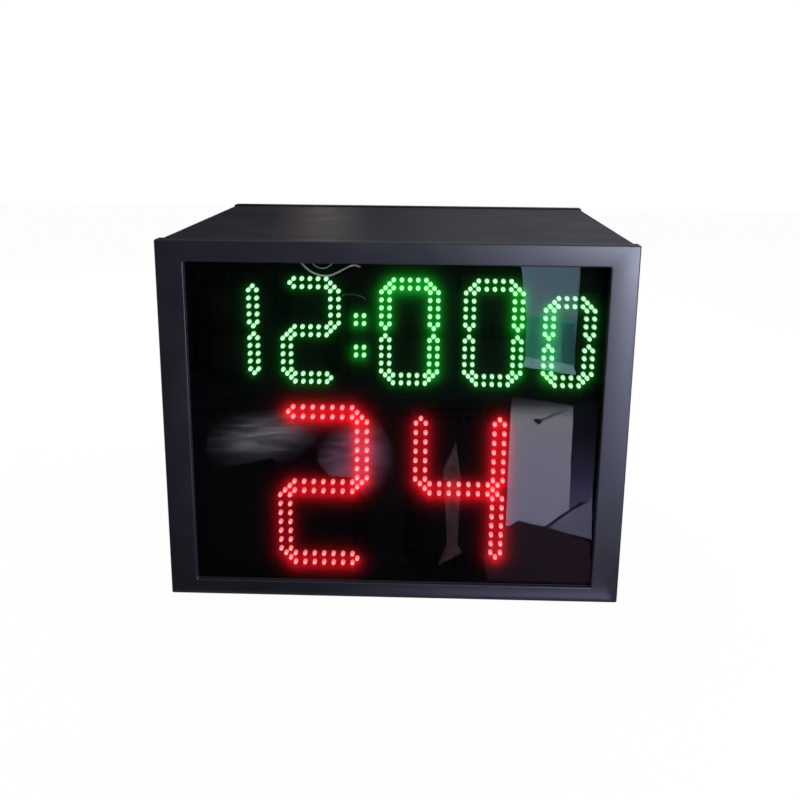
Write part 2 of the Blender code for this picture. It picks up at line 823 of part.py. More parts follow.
def lamp(x, z):
    """One domed lamp that stands on a board, rooted in its thickness."""
    shoulder = LAMP_DOME - LAMP_HEIGHT
    profile = ((BOARD_THICKNESS / 2, LAMP_RADIUS), (shoulder, LAMP_RADIUS), (-LAMP_HEIGHT, 0.0))
    return turned(profile, "Y", LAMP_SIDES, (x, z))


def build_board(name, outline, lamps, colour, at):
    """A display board with its lamps, drawn round the first lamp of its bottom row."""
    board = solid(name, block(*outline), finish(f"{colour[0]}_display", colour[1], 0.35), at)
    lit = helper(f"{name}_lamps", joined(*[lamp(x, z) for x, z in lamps]), at)
    combine(board, lit, "UNION")


def build_digit(name, figure, count, pitch, left, baseline, colour):
    """A seven-segment board with the lamps of the segments that its figure lights."""
    first = UPRIGHT_OFFSET * pitch
    last = (count + 2) * pitch - first
    low = (-first - BOARD_MARGIN, 0.0, -BOARD_MARGIN)
    high = (last + BOARD_MARGIN, BOARD_THICKNESS, digit_height(count, pitch) + BOARD_MARGIN)
    segments = segment_lamps(count)
    lamps = [(u * pitch, v * pitch) for segment in SEGMENTS_OF[figure] for u, v in segments[segment]]
    build_board(name, (low, high), lamps, colour, (left + first, BOARD_FRONT, baseline))


def row_of(counts, pitch, gaps, shift):
    """Left edges of the digits of one row, which is centred on the cabinet but for its shift."""
    widths = [(count + 2) * pitch for count in counts]
    edge = shift - (sum(widths) + sum(gaps)) / 2
    lefts = []
    for width, gap in zip(widths, (*gaps, 0.0)):
        lefts.append(edge)
        edge += width + gap
    return lefts


def clock_lefts():
    """Left edges of the clock row's digits."""
    gaps = (MINUTES_GAP, COLON_GAP, SECONDS_GAP, TENTHS_GAP)
    return row_of([count for _, _, count in CLOCK_DIGITS], CLOCK_PITCH, gaps, CLOCK_SHIFT)


def colon_middle():
    """Middle of the colon, between the minutes and the seconds."""
    return clock_lefts()[2] - COLON_GAP / 2


def build_display():
    """The two rows of boards and the ribbed plate that carries them."""
    green = ("green", (0.02, 0.55, 0.10))
    red = ("red", (0.60, 0.02, 0.02))
    for (name, figure, count), left in zip(CLOCK_DIGITS, clock_lefts()):
        build_digit(name, figure, count, CLOCK_PITCH, left, CLOCK_BASELINE, green)

    shot = (("shot_digit_tens", "2"), ("shot_digit_units", "4"))
    shot_lefts = row_of([SHOT_LAMPS] * 2, SHOT_PITCH, (SHOT_GAP,), SHOT_SHIFT)
    for (name, figure), left in zip(shot, shot_lefts):
        build_digit(name, figure, SHOT_LAMPS, SHOT_PITCH, left, SHOT_BASELINE, red)

    half = CLOCK_PITCH / 2
    rows = (COLON_LOWER_ROW, COLON_LOWER_ROW + 1, COLON_UPPER_ROW, COLON_UPPER_ROW + 1)
    dots = [(x, row * CLOCK_PITCH) for x in (-half, half) for row in rows]
    low = (-half - BOARD_MARGIN, 0.0, -BOARD_MARGIN)
    high = (half + BOARD_MARGIN, BOARD_THICKNESS, TENTHS_HEIGHT + BOARD_MARGIN)
    build_board("clock_colon", (low, high), dots, green, (colon_middle(), BOARD_FRONT, CLOCK_BASELINE))
    build_display_plate()


def build_display_plate():
    """A sheet with four pressed ribs under the boards' edges, flanged back at its top and bottom."""
    top = SHELL_INNER.top - CLEARANCE
    path = [(PLATE_FRONT + PLATE_FLANGE, FLOOR), (PLATE_FRONT, FLOOR)]
    shot_top = SHOT_BASELINE + SHOT_HEIGHT
    tenths_top = CLOCK_BASELINE + TENTHS_HEIGHT
    for middle in (SHOT_BASELINE, shot_top, CLOCK_BASELINE, tenths_top):
        path.append((PLATE_FRONT, middle - RIB_WIDTH / 2 - RIB_SLOPE))
        path.append((PLATE_FRONT - RIB_HEIGHT, middle - RIB_WIDTH / 2))
        path.append((PLATE_FRONT - RIB_HEIGHT, middle + RIB_WIDTH / 2))
        path.append((PLATE_FRONT, middle + RIB_WIDTH / 2 + RIB_SLOPE))
    path += [(PLATE_FRONT, top), (PLATE_FRONT + PLATE_FLANGE, top)]
    outline = folded_sheet(path, -PLATE_SHEET)
    side = TRAY_INNER.right - CLEARANCE
    sheet = solid("display_plate", prism(outline, "X", -side, side), powder_coat())
    bore = ((PLATE_FRONT - RIB_HEIGHT, WIRE_HOLE_RADIUS), (PLATE_BACK + RIB_HEIGHT, WIRE_HOLE_RADIUS))
    holes = []
    for route in (LOOP_WIRE_ROUTE, THIN_WIRE_ROUTE):
        for end in (route[0], route[-1]):
            x, _, z = in_clock_room(*end)
            holes.append(turned(bore, "Y", 8, (x, z)))
    combine(sheet, helper("display_plate_wire_holes", joined(*holes)), "DIFFERENCE")


def in_clock_room(across, share, behind):
    """A place over the clock row: the room ends where the thickest wire would touch the top lamps."""
    room = OVERALL_HEIGHT - CLOCK_TOP - LAMP_RADIUS - CLEARANCE - LOOP_WIRE_RADIUS
    return (DRIVER_X + across, FRONT + behind, OVERALL_HEIGHT - share * room)


def build_display_wires():
    """The white loops that hang behind the panel's top edge, and the dark lead to the colon."""
    white = finish("white_insulation", (0.80, 0.80, 0.78), 0.40)
    dark = finish("black_insulation", (0.03, 0.03, 0.03), 0.45)
    loop = [in_clock_room(*point) for point in LOOP_WIRE_ROUTE]
    thin = [in_clock_room(*point) for point in THIN_WIRE_ROUTE]
    wire("window_wire_loop", loop, LOOP_WIRE_RADIUS, white, WIRE_SPACING)
    wire("window_wire_thin", thin, THIN_WIRE_RADIUS, white, WIRE_SPACING)
    middle = CLOCK_BASELINE + CLOCK_HEIGHT / 2
    lead = [(colon_middle() + x, FRONT + behind, middle + z) for x, z, behind in COLON_LEAD_ROUTE]
    wire("colon_lead", lead, COLON_LEAD_RADIUS, dark, WIRE_SPACING)


def build_rear_frame():
    """The folded rear frame: rim, door recess with its ledge and lip, and the connector strip's cut-outs."""
    front = RIM - FRAME_LAP
    eased = FRAME_FOLD * (1.0 - math.sqrt(0.5))
    ledge_plane = RIM - RECESS_DEPTH
    ledge = RECESS.inset(LEDGE)
    ledge_metal = RECESS.inset(LEDGE - FRAME_SHEET)
    recess_metal = RECESS.inset(-FRAME_SHEET)
    corner = RECESS_CORNER
    sections = [
        (CABINET, FRAME_CORNER, front),
        (CABINET, FRAME_CORNER, RIM - FRAME_FOLD),
        (CABINET.inset(eased), FRAME_CORNER, RIM - eased),
        (CABINET.inset(FRAME_FOLD), FRAME_CORNER, RIM),
        (RECESS, corner, RIM),
        (RECESS, corner, ledge_plane),
        (ledge, corner, ledge_plane),
        (ledge, corner, LIP_END),
        (ledge_metal, corner + FRAME_SHEET, LIP_END),
        (ledge_metal, corner + FRAME_SHEET, ledge_plane - FRAME_SHEET),
        (recess_metal, corner + FRAME_SHEET, ledge_plane - FRAME_SHEET),
        (recess_metal, corner + FRAME_SHEET, RIM - FRAME_SHEET),
        (CABINET.inset(FRAME_SHEET), FRAME_CORNER, RIM - FRAME_SHEET),
        (CABINET.inset(FRAME_SHEET), FRAME_CORNER, front),
    ]
    frame = solid("rear_frame", ring(sections), powder_coat())
    inside = RIM - 2 * FRAME_SHEET
    outside = RIM + FRAME_SHEET
    inlet = hole_round(INLET_X, INLET_BODY_WIDTH, INLET_BODY_HEIGHT, inside, outside)
    switch = hole_round(SWITCH_X, SWITCH_BODY_WIDTH, SWITCH_BODY_HEIGHT, inside, outside)
    bore = SOCKET_RADIUS + CLEARANCE
    socket = turned(((inside, bore), (outside, bore)), "Y", 16, (SOCKET_X, CONNECTOR_HEIGHT))
    combine(frame, helper("rear_frame_cutouts", joined(inlet, switch, socket)), "DIFFERENCE")


def hole_round(x, width, height, front, back):
    """A rectangular hole for a body of this size on the connector strip, with clearance."""
    side = width / 2 + CLEARANCE
    rise = height / 2 + CLEARANCE
    low = (x - side, front, CONNECTOR_HEIGHT - rise)
    high = (x + side, back, CONNECTOR_HEIGHT + rise)
    return block(low, high)


def louvre(mouth, side, root, peak):
    """A wedge across the door: its mouth is level, its top slopes out to the peak, its ends taper."""
    shape = bmesh.new()
    top = mouth + (peak - root) * LOUVRE_RISE / LOUVRE_DEPTH
    corners = {}
    for name, hand in (("left", -1), ("right", 1)):
        corners[name] = (
            shape.verts.new((hand * side, root, top)),
            shape.verts.new((hand * side, root, mouth)),
            shape.verts.new((hand * (side - LOUVRE_TAPER), peak, mouth)),
        )
    left = corners["left"]
    right = corners["right"]
    shape.faces.new(left)
    shape.faces.new(list(reversed(right)))
    for index in range(3):
        after = (index + 1) % 3
        shape.faces.new((left[after], left[index], right[index], right[after]))
    return shape


def build_door():
    """The rear service door with its pressed louvres, stiffeners and seal, on its hinge axis."""
    swing = pivot("rear_door_axis", (HINGE_X, HINGE_Y, (DOOR.bottom + DOOR.top) / 2))
    door = solid("rear_door", plate(DOOR, RECESS_CORNER, DOOR_INNER, RIM), powder_coat(), parent=swing)
    bank = (LOUVRE_COUNT - 1) * LOUVRE_PITCH + LOUVRE_RISE
    starts = (DOOR.bottom + LOUVRE_MARGIN, DOOR.top - LOUVRE_MARGIN - bank)
    mouths = [start + step * LOUVRE_PITCH for start in starts for step in range(LOUVRE_COUNT)]
    peak = RIM + LOUVRE_DEPTH
    side = LOUVRE_LENGTH / 2
    hoods = [louvre(mouth, side, RIM - DOOR_SHEET / 3, peak) for mouth in mouths]
    combine(door, helper("louvre_hoods", joined(*hoods)), "UNION")
    root = DOOR_INNER - DOOR_SHEET
    voids = [louvre(mouth - LOUVRE_WALL_DROP, side - DOOR_SHEET, root, peak) for mouth in mouths]
    combine(door, helper("louvre_voids", joined(*voids)), "DIFFERENCE")
    lock_bore = LOCK_BARREL_RADIUS + CLEARANCE
    profile = ((DOOR_INNER - DOOR_SHEET, lock_bore), (RIM + DOOR_SHEET, lock_bore))
    bores = [turned(profile, "Y", LOCK_SIDES, (LOCK_X, z)) for z in lock_heights().values()]
    combine(door, helper("lock_bores", joined(*bores)), "DIFFERENCE")

    path = (
        (-STIFFENER_WIDTH / 2, -STIFFENER_DEPTH),
        (-STIFFENER_WIDTH / 2, 0.0),
        (STIFFENER_WIDTH / 2, 0.0),
        (STIFFENER_WIDTH / 2, -STIFFENER_DEPTH),
    )
    outline = folded_sheet(path, -SHELL_SHEET)
    places = (("left", DOOR.left + STIFFENER_INSET), ("right", DOOR.right - STIFFENER_INSET))
    for hand, x in places:
        section = [(x + u, DOOR_INNER - CLEARANCE + v) for u, v in outline]
        channel = prism(section, "Z", DOOR.bottom + STIFFENER_END, DOOR.top - STIFFENER_END)
        solid(f"door_stiffener_{hand}", channel, powder_coat(), parent=swing)

    front = RIM - RECESS_DEPTH + CLEARANCE
    back = DOOR_INNER - CLEARANCE
    outer = RECESS.inset(CLEARANCE + DOOR_GAP)
    inner = outer.inset(DOOR_SEAL_WIDTH)
    sections = [
        (outer, RECESS_CORNER, front),
        (inner, RECESS_CORNER, front),
        (inner, RECESS_CORNER, back),
        (outer, RECESS_CORNER, back),
    ]
    solid("door_seal", ring(sections), black_rubber())
    return swing


def knuckle(low, high):
    """One rolled barrel of a hinge leaf, bored for the pin."""
    bore = PIN_RADIUS + BORE_CLEARANCE
    profile = ((low, bore), (low, KNUCKLE_RADIUS), (high, KNUCKLE_RADIUS), (high, bore))
    return turned(profile, "Z", KNUCKLE_SIDES, bored=True, phase=0.5)


def leaf_outline(reaches, hand):
    """A leaf in (x, z): it reaches the barrel where it carries a knuckle, and stands back elsewhere."""
    drop = KNUCKLE_RADIUS - LEAF_SHEET
    back_off = math.sqrt((KNUCKLE_RADIUS + CLEARANCE) ** 2 - drop**2) + CLEARANCE
    points = [(LEAF_WIDTH, -HINGE_HEIGHT / 2)]
    for low, high, carries in reaches:
        root = LEAF_ROOT if carries else back_off
        points += [(root, low), (root, high)]
    points.append((LEAF_WIDTH, HINGE_HEIGHT / 2))
    return [(hand * x, z) for x, z in points]


def build_hinges(swing):
    """Two butt hinges on the rim, each of two leaves on one pin."""
    third = HINGE_HEIGHT / 6
    half = HINGE_HEIGHT / 2
    lower = (-half, -third - CLEARANCE / 2)
    middle = (-third + CLEARANCE / 2, third - CLEARANCE / 2)
    upper = (third + CLEARANCE / 2, half)
    leaf_low = -KNUCKLE_RADIUS
    leaf_high = leaf_low + LEAF_SHEET
    heights = {"lower": DOOR.bottom + HINGE_INSET, "upper": DOOR.top - HINGE_INSET}
    for where, z in heights.items():
        at = (HINGE_X, HINGE_Y, z)
        fixed = leaf_outline(((*lower, True), (lower[1], upper[0], False), (*upper, True)), 1)
        leaf = solid(f"hinge_{where}_frame_leaf", prism(fixed, "Y", leaf_low, leaf_high), bare_steel(), at)
        barrels = helper(f"hinge_{where}_frame_barrels", joined(knuckle(*lower), knuckle(*upper)), at)
        combine(leaf, barrels, "UNION")
        moving = leaf_outline(((-half, middle[0], False), (*middle, True), (middle[1], half, False)), -1)
        flap = solid(
            f"hinge_{where}_door_leaf", prism(moving, "Y", leaf_low, leaf_high), bare_steel(), at, swing
        )
        barrel = helper(f"hinge_{where}_door_barrel", knuckle(*middle), at)
        combine(flap, barrel, "UNION")
        top = half + CLEARANCE
        profile = (
            (-half - PIN_TAIL, PIN_RADIUS),
            (top, PIN_RADIUS),
            (top, PIN_HEAD_RADIUS),
            (top + PIN_HEAD, PIN_HEAD_RADIUS * 0.8),
        )
        pin = turned(profile, "Z", KNUCKLE_SIDES, phase=0.5)
        solid(f"hinge_{where}_pin", pin, bare_steel(), at)


def lock_heights():
    """Height of each lock on the door's free side."""
    return {"lower": DOOR.bottom + LOCK_END_INSET, "upper": DOOR.top - LOCK_END_INSET}


def build_locks(swing):
    """Two quarter-turn cam locks on the door: the cams hang down at rest, clear of the ledge's lip."""
    flange_back = CLEARANCE
    barrel_end = CAM_FRONT - RIM + CLEARANCE
    bore = LOCK_PLUG_RADIUS + CLEARANCE
    for where, z in lock_heights().items():
        at = (LOCK_X, RIM, z)
        profile = (
            (flange_back + LOCK_FLANGE, bore),
            (flange_back + LOCK_FLANGE, LOCK_FLANGE_RADIUS * 0.9),
            (flange_back, LOCK_FLANGE_RADIUS),
            (flange_back, LOCK_BARREL_RADIUS),
            (barrel_end, LOCK_BARREL_RADIUS),
            (barrel_end, bore),
        )
        housing = turned(profile, "Y", LOCK_SIDES, bored=True)
        solid(f"lock_{where}_housing", housing, chromed_brass(), at, swing)
        nut_front = -DOOR_SHEET - CLEARANCE
        hole = LOCK_BARREL_RADIUS + CLEARANCE
        nut = prism(circle(LOCK_NUT_RADIUS, 6), "Y", nut_front - LOCK_NUT, nut_front)
        nut = solid(f"lock_{where}_nut", nut, bare_steel(), at, swing)
        cut = turned(((nut_front - 2 * LOCK_NUT, hole), (LOCK_NUT, hole)), "Y", LOCK_SIDES)
        combine(nut, helper(f"lock_{where}_nut_bore", cut, at), "DIFFERENCE")

        turn = pivot(f"lock_{where}_axis", at)
        face = flange_back + LOCK_FLANGE + LOCK_PLUG_PROUD
        profile = ((face, LOCK_PLUG_RADIUS), (barrel_end, LOCK_PLUG_RADIUS))
        plug = solid(f"lock_{where}_plug", turned(profile, "Y", LOCK_SIDES), chromed_brass(), at, turn)
        low = (-KEYWAY_WIDTH / 2, face - KEYWAY_DEPTH, -KEYWAY_HEIGHT / 2)
        high = (KEYWAY_WIDTH / 2, face + KEYWAY_DEPTH, KEYWAY_HEIGHT / 2)
        combine(plug, helper(f"lock_{where}_keyway", block(low, high), at), "DIFFERENCE")

        cam_front = CAM_FRONT - RIM
        cam = prism(cam_outline(), "Y", cam_front - CAM_SHEET, cam_front)
        cam = solid(f"lock_{where}_cam", cam, bare_steel(), at, turn)
        profile = (
            (cam_front - CAM_SHEET / 2, CAM_SCREW_RADIUS),
            (cam_front - CAM_SHEET - CAM_SCREW, CAM_SCREW_RADIUS),
        )
        screw = helper(f"lock_{where}_cam_screw", turned(profile, "Y", 6), at)
        combine(cam, screw, "UNION")


def circle(radius, sides, centre=(0.0, 0.0)):
    """Corners of a regular outline."""
    turn = 2.0 * math.pi / sides
    return [
        (centre[0] + radius * math.cos(turn * side), centre[1] + radius * math.sin(turn * side))
        for side in range(sides)
    ]


def cam_outline():
    """A flat tongue that hangs from the lock's centre, round at both ends."""
    radius = CAM_WIDTH / 2
    drop = CAM_LENGTH - radius
    upper = [(radius * math.cos(math.pi * s / 4), radius * math.sin(math.pi * s / 4)) for s in range(5)]
    lower = [(-x, -drop - z) for x, z in upper]
    return upper + lower


def build_inlet():
    """The mains inlet: flange, hollow body and three pins, with its tabs behind."""
    at = (INLET_X, RIM, CONNECTOR_HEIGHT)
    side = INLET_FLANGE_WIDTH / 2
    rise = INLET_FLANGE_HEIGHT / 2
    chamfer = rise / 2
    outline = (
        (-side, -rise + chamfer),
        (-side + chamfer, -rise),
        (side - chamfer, -rise),
        (side, -rise + chamfer),
        (side, rise - chamfer),
        (side - chamfer, rise),
        (-side + chamfer, rise),
        (-side, rise - chamfer),
    )
    front = CLEARANCE + INLET_FLANGE
    inlet = solid("mains_inlet", prism(outline, "Y", CLEARANCE, front), black_plastic(), at)
    wide = INLET_BODY_WIDTH / 2
    tall = INLET_BODY_HEIGHT / 2
    back = -INLET_BODY_DEPTH
    body = block((-wide, back, -tall), (wide, CLEARANCE + INLET_FLANGE / 2, tall))
    combine(inlet, helper("mains_inlet_body", body, at), "UNION")
    floor = back + INLET_FLOOR
    well = block(
        (-wide + INLET_WALL, floor, -tall + INLET_WALL), (wide - INLET_WALL, front * 2, tall - INLET_WALL)
    )
    combine(inlet, helper("mains_inlet_well", well, at), "DIFFERENCE")
    pins = []
    half_wide = INLET_PIN_WIDTH / 2
    half_tall = INLET_PIN_HEIGHT / 2
    apart = INLET_PIN_SPACING
    places = ((-apart, -INLET_PIN_RISE), (apart, -INLET_PIN_RISE), (0.0, INLET_PIN_RISE))
    for x, z in places:
        low = (x - half_wide, back - INLET_TAB, z - half_tall)
        high = (x + half_wide, floor + INLET_PIN_LENGTH, z + half_tall)
        pins.append(block(low, high))
    combine(inlet, helper("mains_inlet_pins", joined(*pins), at), "UNION")


def rocker_outline():
    """The rocker's section in (y, z), pressed in at its top: two faces that meet in a shallow valley."""
    reach = SWITCH_BODY_HEIGHT / 2 - SWITCH_WALL - ROCKER_GAP
    tilt = math.radians(ROCKER_THROW / 2)
    corners = []
    for degrees in (ROCKER_BACK_ANGLE, ROCKER_BACK_ANGLE / 2, 0.0, ROCKER_END_ANGLE / 2, ROCKER_END_ANGLE):
        angle = math.radians(degrees)
        corners.append((reach * math.sin(angle), reach * math.cos(angle)))
    corners.append((ROCKER_MIDDLE, 0.0))
    corners += [(y, -z) for y, z in reversed(corners[:-1])]
    corners.append((-ROCKER_BACK_DEPTH, -ROCKER_BACK_WIDTH / 2))
    corners.append((-ROCKER_BACK_DEPTH, ROCKER_BACK_WIDTH / 2))
    cos, sin = math.cos(tilt), math.sin(tilt)
    return [(y * cos - z * sin, y * sin + z * cos) for y, z in corners]


def build_switch():
    """The power switch: a snap-in housing with its tabs, and the rocker that tilts in its well."""
    at = (SWITCH_X, RIM + CLEARANCE, CONNECTOR_HEIGHT)
    side = SWITCH_BEZEL_WIDTH / 2
    rise = SWITCH_BEZEL_HEIGHT / 2
    bezel = block((-side, 0.0, -rise), (side, SWITCH_BEZEL, rise))
    housing = solid("power_switch_housing", bezel, black_plastic(), at)
    wide = SWITCH_BODY_WIDTH / 2
    tall = SWITCH_BODY_HEIGHT / 2
    body = block((-wide, -SWITCH_BODY_DEPTH, -tall), (wide, SWITCH_BEZEL / 2, tall))
    combine(housing, helper("power_switch_body", body, at), "UNION")
    inside = (wide - SWITCH_WALL, tall - SWITCH_WALL)
    well = block((-inside[0], -SWITCH_WELL_DEPTH, -inside[1]), (inside[0], 2 * SWITCH_BEZEL, inside[1]))
    combine(housing, helper("power_switch_well", well, at), "DIFFERENCE")
    tabs = []
    for z in (-tall / 2, tall / 2):
        low = (-SWITCH_TAB_THICKNESS / 2, -SWITCH_BODY_DEPTH - SWITCH_TAB, z - SWITCH_TAB_HEIGHT / 2)
        high = (SWITCH_TAB_THICKNESS / 2, SWITCH_WALL - SWITCH_BODY_DEPTH, z + SWITCH_TAB_HEIGHT / 2)
        tabs.append(block(low, high))
    combine(housing, helper("power_switch_tabs", joined(*tabs), at), "UNION")
    half = inside[0] - ROCKER_GAP
    rocker = prism(rocker_outline(), "X", -half, half)
    solid("power_switch_rocker", rocker, finish("red_plastic", (0.45, 0.02, 0.02), 0.35), at)


def build_socket():
    """The control socket: a round metal shell with five pins, flanged inside and nutted outside."""
    at = (SOCKET_X, RIM, CONNECTOR_HEIGHT)
    well = SOCKET_RADIUS - SOCKET_WALL
    flange_back = -FRAME_SHEET - CLEARANCE
    floor = SOCKET_PROUD - SOCKET_WELL_DEPTH
    profile = (
        (floor, 0.0),
        (floor, well),
        (SOCKET_PROUD, well),
        (SOCKET_PROUD, SOCKET_RADIUS),
        (flange_back, SOCKET_RADIUS),
        (flange_back, SOCKET_FLANGE_RADIUS),
        (flange_back - SOCKET_FLANGE, SOCKET_FLANGE_RADIUS),
        (flange_back - SOCKET_FLANGE, SOCKET_RADIUS),
        (-SOCKET_BODY_DEPTH, SOCKET_RADIUS),
        (-SOCKET_BODY_DEPTH, 0.0),
    )
    socket = solid("control_socket", turned(profile, "Y", LOCK_SIDES), chromed_brass(), at)
    root = floor - SOCKET_PIN_ROOT
    profile = ((root, SOCKET_PIN_RADIUS), (floor + SOCKET_PIN_LENGTH, SOCKET_PIN_RADIUS))
    pins = [turned(profile, "Y", SOCKET_PIN_SIDES, place) for place in circle(SOCKET_PIN_CIRCLE, SOCKET_PINS)]
    combine(socket, helper("control_socket_pins", joined(*pins), at), "UNION")
    hole = SOCKET_RADIUS + CLEARANCE
    nut = prism(circle(SOCKET_NUT_RADIUS, 6), "Y", CLEARANCE, CLEARANCE + SOCKET_NUT)
    nut = solid("control_socket_nut", nut, bare_steel(), at)
    bore = turned(((-SOCKET_NUT, hole), (3 * SOCKET_NUT, hole)), "Y", LOCK_SIDES)
    combine(nut, helper("control_socket_nut_bore", bore, at), "DIFFERENCE")


def build_supply():
    """The power supply's case, and the barrier strip on the ledge at its rear end."""
    low = SUPPLY_Y - SUPPLY_LENGTH / 2
    high = SUPPLY_Y + SUPPLY_LENGTH / 2
    top = FLOOR + SUPPLY_HEIGHT
    ledge = FLOOR + SUPPLY_LEDGE_HEIGHT
    outline = (
        (low, FLOOR),
        (high, FLOOR),
        (high, ledge),
        (high - SUPPLY_LEDGE, ledge),
        (high - SUPPLY_LEDGE, top),
        (low, top),
    )
    left = SUPPLY_X - SUPPLY_WIDTH / 2
    case = prism(outline, "X", left, left + SUPPLY_WIDTH)
    solid("power_supply_case", case, bare_steel())
    seat = ledge + CLEARANCE
    strip = [(0.0, seat)]
    for slot in range(TERMINAL_COUNT):
        wall = slot * TERMINAL_PITCH
        strip.append((wall, seat + TERMINAL_HEIGHT))
        strip.append((wall + TERMINAL_WALL, seat + TERMINAL_HEIGHT))
        strip.append((wall + TERMINAL_WALL, seat + TERMINAL_WELL))
        strip.append((wall + TERMINAL_PITCH, seat + TERMINAL_WELL))
    end = TERMINAL_COUNT * TERMINAL_PITCH
    strip += [(end, seat + TERMINAL_HEIGHT), (end + TERMINAL_WALL, seat + TERMINAL_HEIGHT)]
    strip.append((end + TERMINAL_WALL, seat))
    start = SUPPLY_X - (end + TERMINAL_WALL) / 2
    strip = [(start + x, z) for x, z in strip]
    near = high - SUPPLY_LEDGE + CLEARANCE
    bar = prism(strip, "Y", near, high - TERMINAL_WALL)
    solid("power_supply_terminals", bar, black_plastic())


def build_controller():
    """The controller board on its posts on the floor, with its chips, relay and headers."""
    half_w = CONTROLLER_WIDTH / 2
    half_d = CONTROLLER_DEPTH / 2
    at = (CONTROLLER_X, CONTROLLER_Y, FLOOR + STANDOFF_HEIGHT)
    card = block((-half_w, -half_d, 0.0), (half_w, half_d, BOARD_THICKNESS))
    board = solid("controller_board", card, circuit_board(), at)
    inset_w = half_w - STANDOFF_INSET
    inset_d = half_d - STANDOFF_INSET
    half = STANDOFF_SIDE / 2
    posts = []
    for x in (-inset_w, inset_w):
        for y in (-inset_d, inset_d):
            low = (x - half, y - half, -STANDOFF_HEIGHT)
            posts.append(block(low, (x + half, y + half, BOARD_THICKNESS / 2)))
    combine(board, helper("controller_board_posts", joined(*posts), at), "UNION")
    parts = (
        *CONTROLLER_CHIPS,
        (SIGNAL_HEADER_X, RELAY_LINE, RELAY_SIDE, RELAY_SIDE, RELAY_HEIGHT),
        (RIBBON_HEADER_X, HEADER_LINE, RIBBON_HEADER_WIDTH, HEADER_DEPTH, HEADER_HEIGHT),
        (SIGNAL_HEADER_X, HEADER_LINE, SIGNAL_HEADER_WIDTH, HEADER_DEPTH, HEADER_HEIGHT),
    )
    chips = []
    for x, y, width, depth, height in parts:
        low = (x - width / 2, y - depth / 2, BOARD_THICKNESS / 2)
        chips.append(block(low, (x + width / 2, y + depth / 2, BOARD_THICKNESS + height)))
    combine(board, helper("controller_board_parts", joined(*chips), at), "UNION")


def build_driver():
    """The driver board on its posts behind the display plate, with its three sockets."""
    at = (DRIVER_X, DRIVER_FRONT, DRIVER_MIDDLE)
    half_w = DRIVER_WIDTH / 2
    half_h = DRIVER_HEIGHT / 2
    front = DRIVER_STANDOFF
    card = block((-half_w, front, -half_h), (half_w, front + BOARD_THICKNESS, half_h))
    board = solid("driver_board", card, circuit_board(), at)
    inset_w = half_w - DRIVER_POST_INSET
    inset_h = half_h - DRIVER_POST_INSET
    half = DRIVER_POST_SIDE / 2
    root = front + BOARD_THICKNESS / 2
    parts = []
    for x in (-inset_w, inset_w):
        for z in (-inset_h, inset_h):
            parts.append(block((x - half, 0.0, z - half), (x + half, root, z + half)))
    back = front + BOARD_THICKNESS + DRIVER_HEADER
    sockets = (
        (0.0, RIBBON_SOCKET_RISE, RIBBON_SOCKET_SPAN, RIBBON_SOCKET_HALF),
        (POWER_SOCKET_X, POWER_SOCKET_RISE, POWER_SOCKET_SPAN, POWER_SOCKET_HALF),
        (-POWER_SOCKET_X, POWER_SOCKET_RISE, POWER_SOCKET_SPAN, POWER_SOCKET_HALF),
    )
    for x, z, span, rise in sockets:
        parts.append(block((x - span, root, z - rise), (x + span, back, z + rise)))
    combine(board, helper("driver_board_parts", joined(*parts), at), "UNION")


def build_siren():
    """The siren's can, which faces the door's lower louvres, and the angle that holds it."""
    at = (SIREN_X, SIREN_Y, SIREN_Z)
    rear = -SIREN_DEPTH
    profile = (
        (0.0, 0.0),
        (0.0, SIREN_RADIUS * 0.55),
        (-SIREN_FLANGE / 2, SIREN_RADIUS * 0.60),
        (-SIREN_FLANGE / 2, SIREN_RADIUS * 0.90),
        (0.0, SIREN_RADIUS * 0.95),
        (0.0, SIREN_FLANGE_RADIUS),
        (-SIREN_FLANGE, SIREN_FLANGE_RADIUS),
        (-SIREN_FLANGE, SIREN_RADIUS),
        (rear, SIREN_RADIUS * 0.9),
        (rear, SIREN_BOSS_RADIUS),
        (rear - SIREN_BOSS, SIREN_BOSS_RADIUS),
        (rear - SIREN_BOSS, 0.0),
    )
    solid("siren", turned(profile, "Y", SIREN_SIDES), black_plastic(), at)
    upright = SIREN_Y - SIREN_DEPTH - SIREN_BOSS - CLEARANCE
    path = (
        (upright - BRACKET_FOOT, FLOOR),
        (upright, FLOOR),
        (upright, SIREN_Z + BRACKET_ABOVE),
    )
    outline = folded_sheet(path, BRACKET_SHEET)
    half = BRACKET_WIDTH / 2
    solid("siren_bracket", prism(outline, "X", SIREN_X - half, SIREN_X + half), bare_steel())


